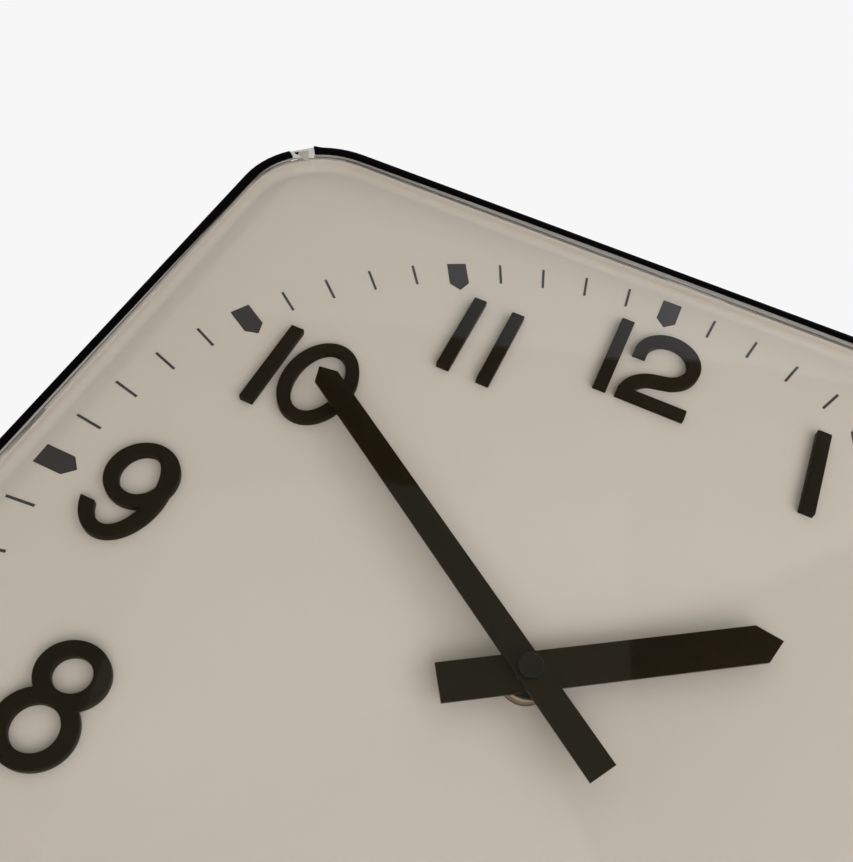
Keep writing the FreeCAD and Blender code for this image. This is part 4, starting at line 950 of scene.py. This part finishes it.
@dataclass
class Hands(Assembly):
    """The two hands, the cap over them and the nut below them.

    Attributes:
        blade_rounding: The rounding of the hands' stamped edges.
        cap_radius: The cap's radius.
        cap_rim: The radius of its rounded rim.
        cap_face: How far inside the cap's edge its flat face ends.
        cap_dish: How far the face is sunk inside its rim.
        wall_slope: Faces of the cap that point less far forwards than this belong to its wall, which takes a
            darker copy of the cap's finish as painted shade.
        nut_bore: The radius of the nut's bore.
        thread_bore: The radius of the hole in the threaded end that the nut sits on.
        thread_standout: How far the threaded end stands out of the nut.
    """

    blade_rounding: float = 0.10 * MM
    cap_radius: float = 3.15 * MM
    cap_rim: float = 0.3 * MM
    cap_face: float = 0.9 * MM
    cap_dish: float = 0.06 * MM
    wall_slope: float = 0.5
    nut_bore: float = 4.05 * MM
    thread_bore: float = 2.62 * MM
    thread_standout: float = 0.33 * MM

    def build(self) -> None:
        """Makes the hands, the cap and the nut."""
        self.shop.soften("hour_hand", "hour_blade", self.blade_rounding, shortest=0.8 * MM)
        self.shop.soften("minute_hand", "minute_blade", self.blade_rounding, shortest=0.8 * MM)
        self.build_cap()
        self.build_nut()

    def build_cap(self) -> None:
        """A low round cap with a rounded rim and a slightly sunk face."""
        low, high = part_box("centre_cap")
        base = Vector(((low.x + high.x) / 2, high.y, (low.z + high.z) / 2))
        height = high.y - low.y
        radius, rim = self.cap_radius, self.cap_rim
        steps = [(radius - rim * (1 - math.cos(turn)), height - rim * (1 - math.sin(turn)))
                 for turn in (0, math.pi / 8, math.pi / 4, 3 * math.pi / 8, math.pi / 2)]
        inner = radius - self.cap_face
        profile = [(radius, 0.0), *steps, (inner, height), (inner - 0.1 * MM, height - self.cap_dish)]
        cap = turned("axle_cap", base, FRONT, profile)
        self.shop.hand_over(cap, "cap_black", "minute_set", ["centre_cap"])
        # The cap's side wall takes the darker copy of its black, a painted shade.
        finish_sides(cap, CAP_WALL_SHADE, "cap_wall_shade", self.wall_slope)

    def build_nut(self) -> None:
        """A polished round nut with rounded rims, and the bare end of the thread inside it."""
        low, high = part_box("dial_nut")
        base = Vector(((low.x + high.x) / 2, high.y, (low.z + high.z) / 2))
        height = high.y - low.y
        end = height + self.thread_standout
        radius = (high.x - low.x) / 2
        profile = [
            (radius - 0.3 * MM, 0.0), (radius, 0.25 * MM), (radius, height - 0.7 * MM),
            (radius - 0.12 * MM, height - 0.35 * MM), (radius - 0.45 * MM, height - 0.1 * MM),
            (radius - 0.9 * MM, height), (self.nut_bore + 0.35 * MM, height),
            (self.nut_bore, height - 0.1 * MM), (self.nut_bore, end - 0.15 * MM),
            (self.nut_bore - 0.15 * MM, end), (self.thread_bore, end), (self.thread_bore, height - 1.6 * MM),
        ]
        nut = turned("polished_nut", base, FRONT, profile)
        self.shop.hand_over(nut, "nut_brass", nodes=["dial_nut"])


@dataclass
class RearCase(Assembly):
    """The moulded tray, its ribs and ejector marks, the wall pads and the hanger.

    Attributes:
        rounding: The rounding of the tray's edges.
        rib_width: How wide a stiffening rib is.
        rib_height: How far it stands out of the recessed back.
        rib_start: Where the ribs start, from the middle of the movement's window.
        rim_width: How far inside the tray's edge the ribs end.
        corner_gap: How much sooner the slanting ribs end.
        upper_rib_end: Where the rib below the hanger ends, from the same middle.
        panel_depth: How far in front of the wall the recessed back lies.
        mark_radius: The radius of an ejector mark.
        mark_columns: Where the marks lie across the back.
        mark_rows: Where they lie above and below the window's middle.
        pad_radius: The radius of a wall pad.
    """

    rounding: float = 0.45 * MM
    rib_width: float = 1.8 * MM
    rib_height: float = 1.4 * MM
    rib_start: float = 38 * MM
    rim_width: float = 19.5 * MM
    corner_gap: float = 17 * MM
    upper_rib_end: float = 80 * MM
    panel_depth: float = 3 * MM
    mark_radius: float = 4 * MM
    mark_columns: Sequence[float] = (-100 * MM, -50 * MM, 50 * MM, 100 * MM)
    mark_rows: Sequence[float] = (-72 * MM, 60 * MM)
    pad_radius: float = 6 * MM

    def build(self) -> None:
        """Makes every piece at the back."""
        self.shop.soften("rear_case", "moulded_tray", self.rounding, shortest=1.2 * MM)
        self.shop.soften("hanger_plate", "keyhole_plate", 0.18 * MM, shortest=0.3 * MM)
        self.shop.soften("hanger_screws", "slotted_screws", 0.2 * MM, shortest=0.2 * MM)
        self.build_ribs()
        self.build_marks()
        self.build_pads()

    def panel(self) -> Vector:
        """The middle of the recessed back, on its surface."""
        return Vector((0, -self.panel_depth, hands_axis().z))

    def build_ribs(self) -> None:
        """Ribs that run from the window to the rim."""
        middle = self.panel()
        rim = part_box("rear_case")[1].x - self.rim_width
        ribs = []
        for degrees in range(0, 360, 45):
            slanted = degrees % 90 != 0
            end = (rim - self.corner_gap) * math.sqrt(2) if slanted else rim
            start = self.rib_start * (math.sqrt(2) if slanted else 1)
            if degrees == 270:
                end = self.upper_rib_end
            turn = math.radians(degrees)
            direction = Vector((math.cos(turn), 0, -math.sin(turn)))
            centre = middle + direction * (start + end) / 2 + BACK * self.rib_height / 2
            size = Vector((end - start, self.rib_height, self.rib_width))
            ribs.append(bar("rib", centre, size, degrees, 0.35 * MM))
        self.shop.hand_over(joined("stiffening_ribs", ribs), "case_white")

    def build_marks(self) -> None:
        """Shallow round marks where the mould's pins pushed the tray out."""
        middle = self.panel()
        marks = []
        radius = self.mark_radius
        profile = [(radius, -0.2 * MM), (radius, 0.12 * MM), (radius - 0.2 * MM, 0.2 * MM),
                   (radius - 0.45 * MM, 0.2 * MM), (radius - 0.6 * MM, 0.05 * MM)]
        for across in self.mark_columns:
            for up in self.mark_rows:
                place = middle + RIGHT * across + UP * up
                marks.append(turned("mark", place, BACK, profile, 40))
        self.shop.hand_over(joined("ejector_marks", marks), "case_white")

    def build_pads(self) -> None:
        """Four soft wall pads with rounded rims and a shallow dimple."""
        low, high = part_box("wall_bumpers")
        radius = self.pad_radius
        height = high.y - low.y
        profile = [(radius, 0.0), (radius, height - 0.8 * MM), (radius - 0.25 * MM, height - 0.3 * MM),
                   (radius - 0.8 * MM, height - 0.05 * MM), (radius - 1.6 * MM, height),
                   (1.8 * MM, height), (1.2 * MM, height - 0.3 * MM)]
        pads = [turned("pad", Vector((x, low.y, z)), BACK, profile)
                for x in (low.x + radius, high.x - radius) for z in (low.z + radius, high.z - radius)]
        self.shop.hand_over(joined("wall_pads", pads), "rubber_black", nodes=["wall_bumpers"])


@dataclass
class Movement(Assembly):
    """The battery movement as it shows in the window at the back.

    Attributes:
        rounding: The rounding of the housing's edges.
        cell_radius: The battery's radius.
        spring_turns: The turns of the battery's spring.
        spring_radius: The spring's radius at its plate, in millimetres.
        spring_taper: How much narrower its other end is, in millimetres.
        wire_radius: Half the thickness of the spring's wire.
        mark_size: The length of a polarity mark's bars.
    """

    rounding: float = 0.4 * MM
    cell_radius: float = 7 * MM
    spring_turns: float = 3.5
    spring_radius: float = 3.0
    spring_taper: float = 1.5
    wire_radius: float = 0.3 * MM
    mark_size: float = 3.2 * MM

    def build(self) -> None:
        """Makes every piece of the movement that shows."""
        self.shop.soften("movement_rear_housing", "movement_back_shell", self.rounding, shortest=2.5 * MM)
        self.shop.soften("movement_front_housing", "movement_front_shell", self.rounding, shortest=2.5 * MM)
        self.shop.soften("setting_knob", "grooved_knob", 0.12 * MM, shortest=0.45 * MM, segments=2)
        self.build_cell()
        self.build_spring()
        self.build_polarity()

    def build_cell(self) -> None:
        """A round cell with a curled jacket and a raised contact."""
        low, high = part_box("battery")
        start = Vector((low.x, (low.y + high.y) / 2, (low.z + high.z) / 2))
        shoulder = high.x - low.x - NUB_LENGTH
        radius = self.cell_radius
        profile = [
            (4.6 * MM, 0.35 * MM), (5.4 * MM, 0.3 * MM), (5.7 * MM, 0.05 * MM), (6.3 * MM, 0.0),
            (6.8 * MM, 0.2 * MM), (radius, 0.7 * MM), (radius, shoulder - 0.9 * MM),
            (6.8 * MM, shoulder - 0.35 * MM), (6.2 * MM, shoulder - 0.05 * MM), (5.6 * MM, shoulder),
            (5.3 * MM, shoulder - 0.2 * MM), (3.0 * MM, shoulder - 0.1 * MM),
            (2.75 * MM, shoulder + 0.2 * MM), (2.75 * MM, shoulder + 1.1 * MM),
            (2.5 * MM, shoulder + NUB_LENGTH),
        ]
        cell = turned("round_cell", start, RIGHT, profile)
        self.shop.hand_over(cell, "battery_jacket", nodes=["battery"])

    def build_spring(self) -> None:
        """A cone-shaped wire spring on its thin plate."""
        low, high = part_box("contact_negative")
        start = Vector((low.x, (low.y + high.y) / 2, (low.z + high.z) / 2))
        plate_thickness = 0.3 * MM
        side = high.z - low.z
        centre = start + RIGHT * plate_thickness / 2
        plate = bar("plate", centre, Vector((plate_thickness, side, side)), 0, 0.06 * MM)
        length = high.x - low.x - plate_thickness - 2 * self.wire_radius
        steps = 96
        curve = bpy.data.curves.new("spring", "CURVE")
        curve.dimensions = "3D"
        curve.bevel_depth = self.wire_radius
        curve.bevel_resolution = 2
        spline = curve.splines.new("POLY")
        spline.points.add(steps)
        for number, point in enumerate(spline.points):
            share = number / steps
            radius = (self.spring_radius - self.spring_taper * share) * MM
            turn = 2 * math.pi * self.spring_turns * share
            along = plate_thickness + self.wire_radius + length * share
            place = start + Vector((along, radius * math.cos(turn), radius * math.sin(turn)))
            point.co = (*place, 1)
        select_only(placed("spring", curve))
        bpy.ops.object.convert(target="MESH")
        spring = joined("cone_spring", [plate, bpy.context.object])
        smooth(spring)
        self.shop.hand_over(spring, "contact_steel", nodes=["contact_negative"])

    def build_polarity(self) -> None:
        """A raised plus and a raised minus on the housing's back, beside the battery's ends."""
        low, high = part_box("battery")
        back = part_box("movement_rear_housing")[1].y
        up = high.z + 3.4 * MM
        height = 0.3 * MM
        thick = 0.8 * MM
        bars = []
        for across, turns in ((low.x + 4 * MM, (0,)), (high.x - 5 * MM, (0, 90))):
            for degrees in turns:
                centre = Vector((across, back + height / 2, up))
                bars.append(bar("bar", centre, Vector((self.mark_size, height, thick)), degrees, 0.08 * MM))
        self.shop.hand_over(joined("polarity_marks", bars), "housing_black")


@dataclass(frozen=True)
class Card:
    """A dim flat area of the room in front of the clock.

    Attributes:
        name: The card's name.
        outline: Its corners as X and Z.
        colour: The brightness of each colour at its right end.
        left_share: How bright its left end is, as a share of the right end.
        folds: How strongly slanting folds show at its left end.
    """

    name: str
    outline: Profile
    colour: Colour
    left_share: float = 1.0
    folds: float = 0.0

    def material(self) -> Material:
        """A glow that changes from left to right, with soft folds."""
        shader = Shader(self.name)
        across = shader.along("X")
        slanting = across * 0.66 - shader.along("Z") * 0.75
        sockets = {"W": slanting, "Scale": 11.0}
        fold = shader.strand("ShaderNodeTexNoise", sockets, noise_dimensions="1D")
        near_left = 1 - shader.between(across, -1.1, -0.1)
        level = self.left_share + (1 - self.left_share) * shader.between(across, -1.6, 0.6)
        level = level * (1 + (fold - 0.5) * near_left * self.folds)
        return shader.surface({
            "Base Color": (0, 0, 0, 1),
            "Specular IOR Level": 0.0,
            "Emission Color": shader.blend(level, (0, 0, 0), self.colour),
            "Emission Strength": 1.0,
        })


UPPER_EDGE = [(-1.77, 0.99), (-1.72, 1.10), (-1.62, 1.18), (-1.51, 1.235), (-1.30, 1.267), (-1.07, 1.33),
              (-0.75, 1.52), (-0.44, 1.64), (-0.09, 1.86), (0.23, 2.145), (0.43, 2.27), (0.73, 2.31)]
LOWER_EDGE = [(-1.04, 0.60), (-0.81, 0.73), (-0.65, 0.81), (-0.33, 0.91), (-0.03, 1.04), (0.15, 1.21)]
BEND = [(0.155, 1.32), (0.19, 1.48), (0.26, 1.68), (0.34, 1.84), (0.45, 2.02), (0.57, 2.17), (0.73, 2.31)]
SEAM = [(0.15, 1.21), (0.145, 1.16), (0.235, 0.81), (0.325, 0.54), (0.455, 0.20), (0.60, -0.90)]
LEFT_EDGE = [(-0.52, -0.90), (-0.715, -0.33), (-0.91, 0.08), (-1.01, 0.445)]
CARDS = (
    Card("dark_card", [(-3.2, -0.9), (2.6, -0.9), (2.6, 3.8), (-3.2, 3.8)], (0.022, 0.015, 0.007)),
    Card("upper_card", [*UPPER_EDGE, (2.6, 3.3), (2.6, 3.8), (-3.2, 3.8), (-3.2, 0.2)],
         (0.34, 0.36, 0.39), 0.25),
    Card("cloth_card", [*LOWER_EDGE, *SEAM[1:], *LEFT_EDGE], (0.118, 0.120, 0.102), 0.9, 0.8),
    Card("right_card", [*SEAM[::-1], *BEND, (2.6, 3.3), (2.6, -0.9)], (0.020, 0.020, 0.020)),
)


@dataclass
class Studio(Assembly):
    """The floor, the lamps, the dim room that the glass mirrors and the camera.

    Attributes:
        white: The brightness of the background.
        ambient: The colour and strength of the light from all round.
        lamps: Name, place from the hands' axis, power, side and colour of each lamp.
        mirror_depth: How far in front of the wall the backmost mirrored card hangs.
        card_step: How much nearer each further card hangs.
    """

    white: float = 0.93
    ambient: Colour = (0.60, 0.575, 0.535)
    lamps: Sequence = (
        ("low", (0.55, -0.62, -0.62), 10.5, 0.80, (1.0, 0.93, 0.96)),
        ("right", (0.80, -0.55, 0.10), 3.0, 0.50, (0.88, 0.90, 1.0)),
        ("upper", (0.30, -0.60, 1.10), 1.5, 0.80, (1.0, 0.93, 0.84)),
        ("rear", (-0.90, 1.10, 0.90), 9.0, 0.90, (1.0, 1.0, 1.0)),
    )
    mirror_depth: float = 1.5
    card_step: float = 5 * MM

    def build(self) -> None:
        """Sets up everything that isn't part of the clock."""
        bpy.context.scene.view_settings.view_transform = "Standard"
        self.build_world()
        self.build_floor()
        self.build_lamps()
        self.build_cards()
        self.build_camera()
        self.shop.log.info("studio: floor, %d lamps, camera", len(bpy.data.lights))

    def build_world(self) -> None:
        """A white background where it is seen or mirrored, and a softer light for everything else."""
        world = bpy.data.worlds.new("studio")
        nodes = Nodes(world)
        path = nodes.node("ShaderNodeLightPath")
        seen = Strand(nodes, path.outputs["Is Camera Ray"])
        for output in ("Is Glossy Ray", "Is Transmission Ray"):
            seen = nodes.maths("MAXIMUM", seen, Strand(nodes, path.outputs[output]))
        soft = nodes.node("ShaderNodeBackground", {"Color": opaque(self.ambient)})
        plain = nodes.node("ShaderNodeBackground", {"Color": opaque((self.white, self.white, self.white))})
        mixed = nodes.node("ShaderNodeMixShader", {0: seen, 1: soft.outputs[0], 2: plain.outputs[0]})
        nodes.node("ShaderNodeOutputWorld", {"Surface": mixed.outputs[0]})
        bpy.context.scene.world = world

    def build_floor(self) -> None:
        """A plain pale floor close under the clock's lower edge."""
        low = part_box("edge_trim")[0]
        bpy.ops.mesh.primitive_plane_add(size=12, location=(0, 0, low.z - 0.5 * MM))
        floor = settle(bpy.context.object, "floor")
        shader = Shader("floor")
        cloud = shader.noise(1.2)
        colour = shader.blend(cloud, (0.84, 0.84, 0.84), (0.87, 0.87, 0.87))
        floor.data.materials.append(shader.surface({"Base Color": colour, "Roughness": 0.7}))
        floor.visible_glossy = False
        floor.visible_shadow = False

    def build_lamps(self) -> None:
        """Soft lamps low in front, on the right, above and behind, none seen in a mirror."""
        middle = hands_axis()
        for name, place, power, size, colour in self.lamps:
            light = bpy.data.lights.new(name, "AREA")
            light.energy = power
            light.size = size
            light.color = colour
            holder = placed(name, light)
            holder.location = middle + Vector(place)
            holder.rotation_euler = Vector(place).to_track_quat("Z", "Y").to_euler()
            holder.visible_camera = False
            holder.visible_glossy = False

    def build_cards(self) -> None:
        """Dim flat areas in front of the clock that only the glass and the gloss see."""
        for number, card in enumerate(CARDS):
            mesh = bpy.data.meshes.new(card.name)
            depth = self.mirror_depth - number * self.card_step
            corners = [(x, -depth, z) for x, z in card.outline]
            mesh.from_pydata(corners, [], [list(range(len(corners)))])
            piece = placed(card.name, mesh)
            mesh.materials.append(card.material())
            piece.visible_camera = False
            piece.visible_diffuse = False
            piece.visible_shadow = False

    def build_camera(self) -> None:
        """The photograph's camera, low in front of the dial and looking up at its top left."""
        right = Vector((0.90670, -0.08787, 0.41252))
        up = Vector((-0.38559, -0.56905, 0.72630))
        back = right.cross(up)
        turn = Matrix((right, up, back)).transposed()
        camera = bpy.data.cameras.new("camera")
        camera.sensor_width = 36.0
        camera.lens = 36.416
        camera.clip_start = 0.01
        holder = placed("camera", camera)
        holder.matrix_world = Matrix.Translation((-0.00846, -0.23366, -0.18829)) @ turn.to_4x4()
        bpy.context.scene.camera = holder


def main() -> None:
    """Builds the clock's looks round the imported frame, one sub-assembly after the other."""
    logging.basicConfig(level=logging.INFO, format="%(message)s")
    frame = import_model()
    shop = Workshop(frame)
    for assembly in (RearCase, Movement, Dial, Hands, GlassDome, EdgeTrim, Studio):
        assembly(shop).build()
    shop.dress_nodes()


if __name__ == "__main__":
    main()
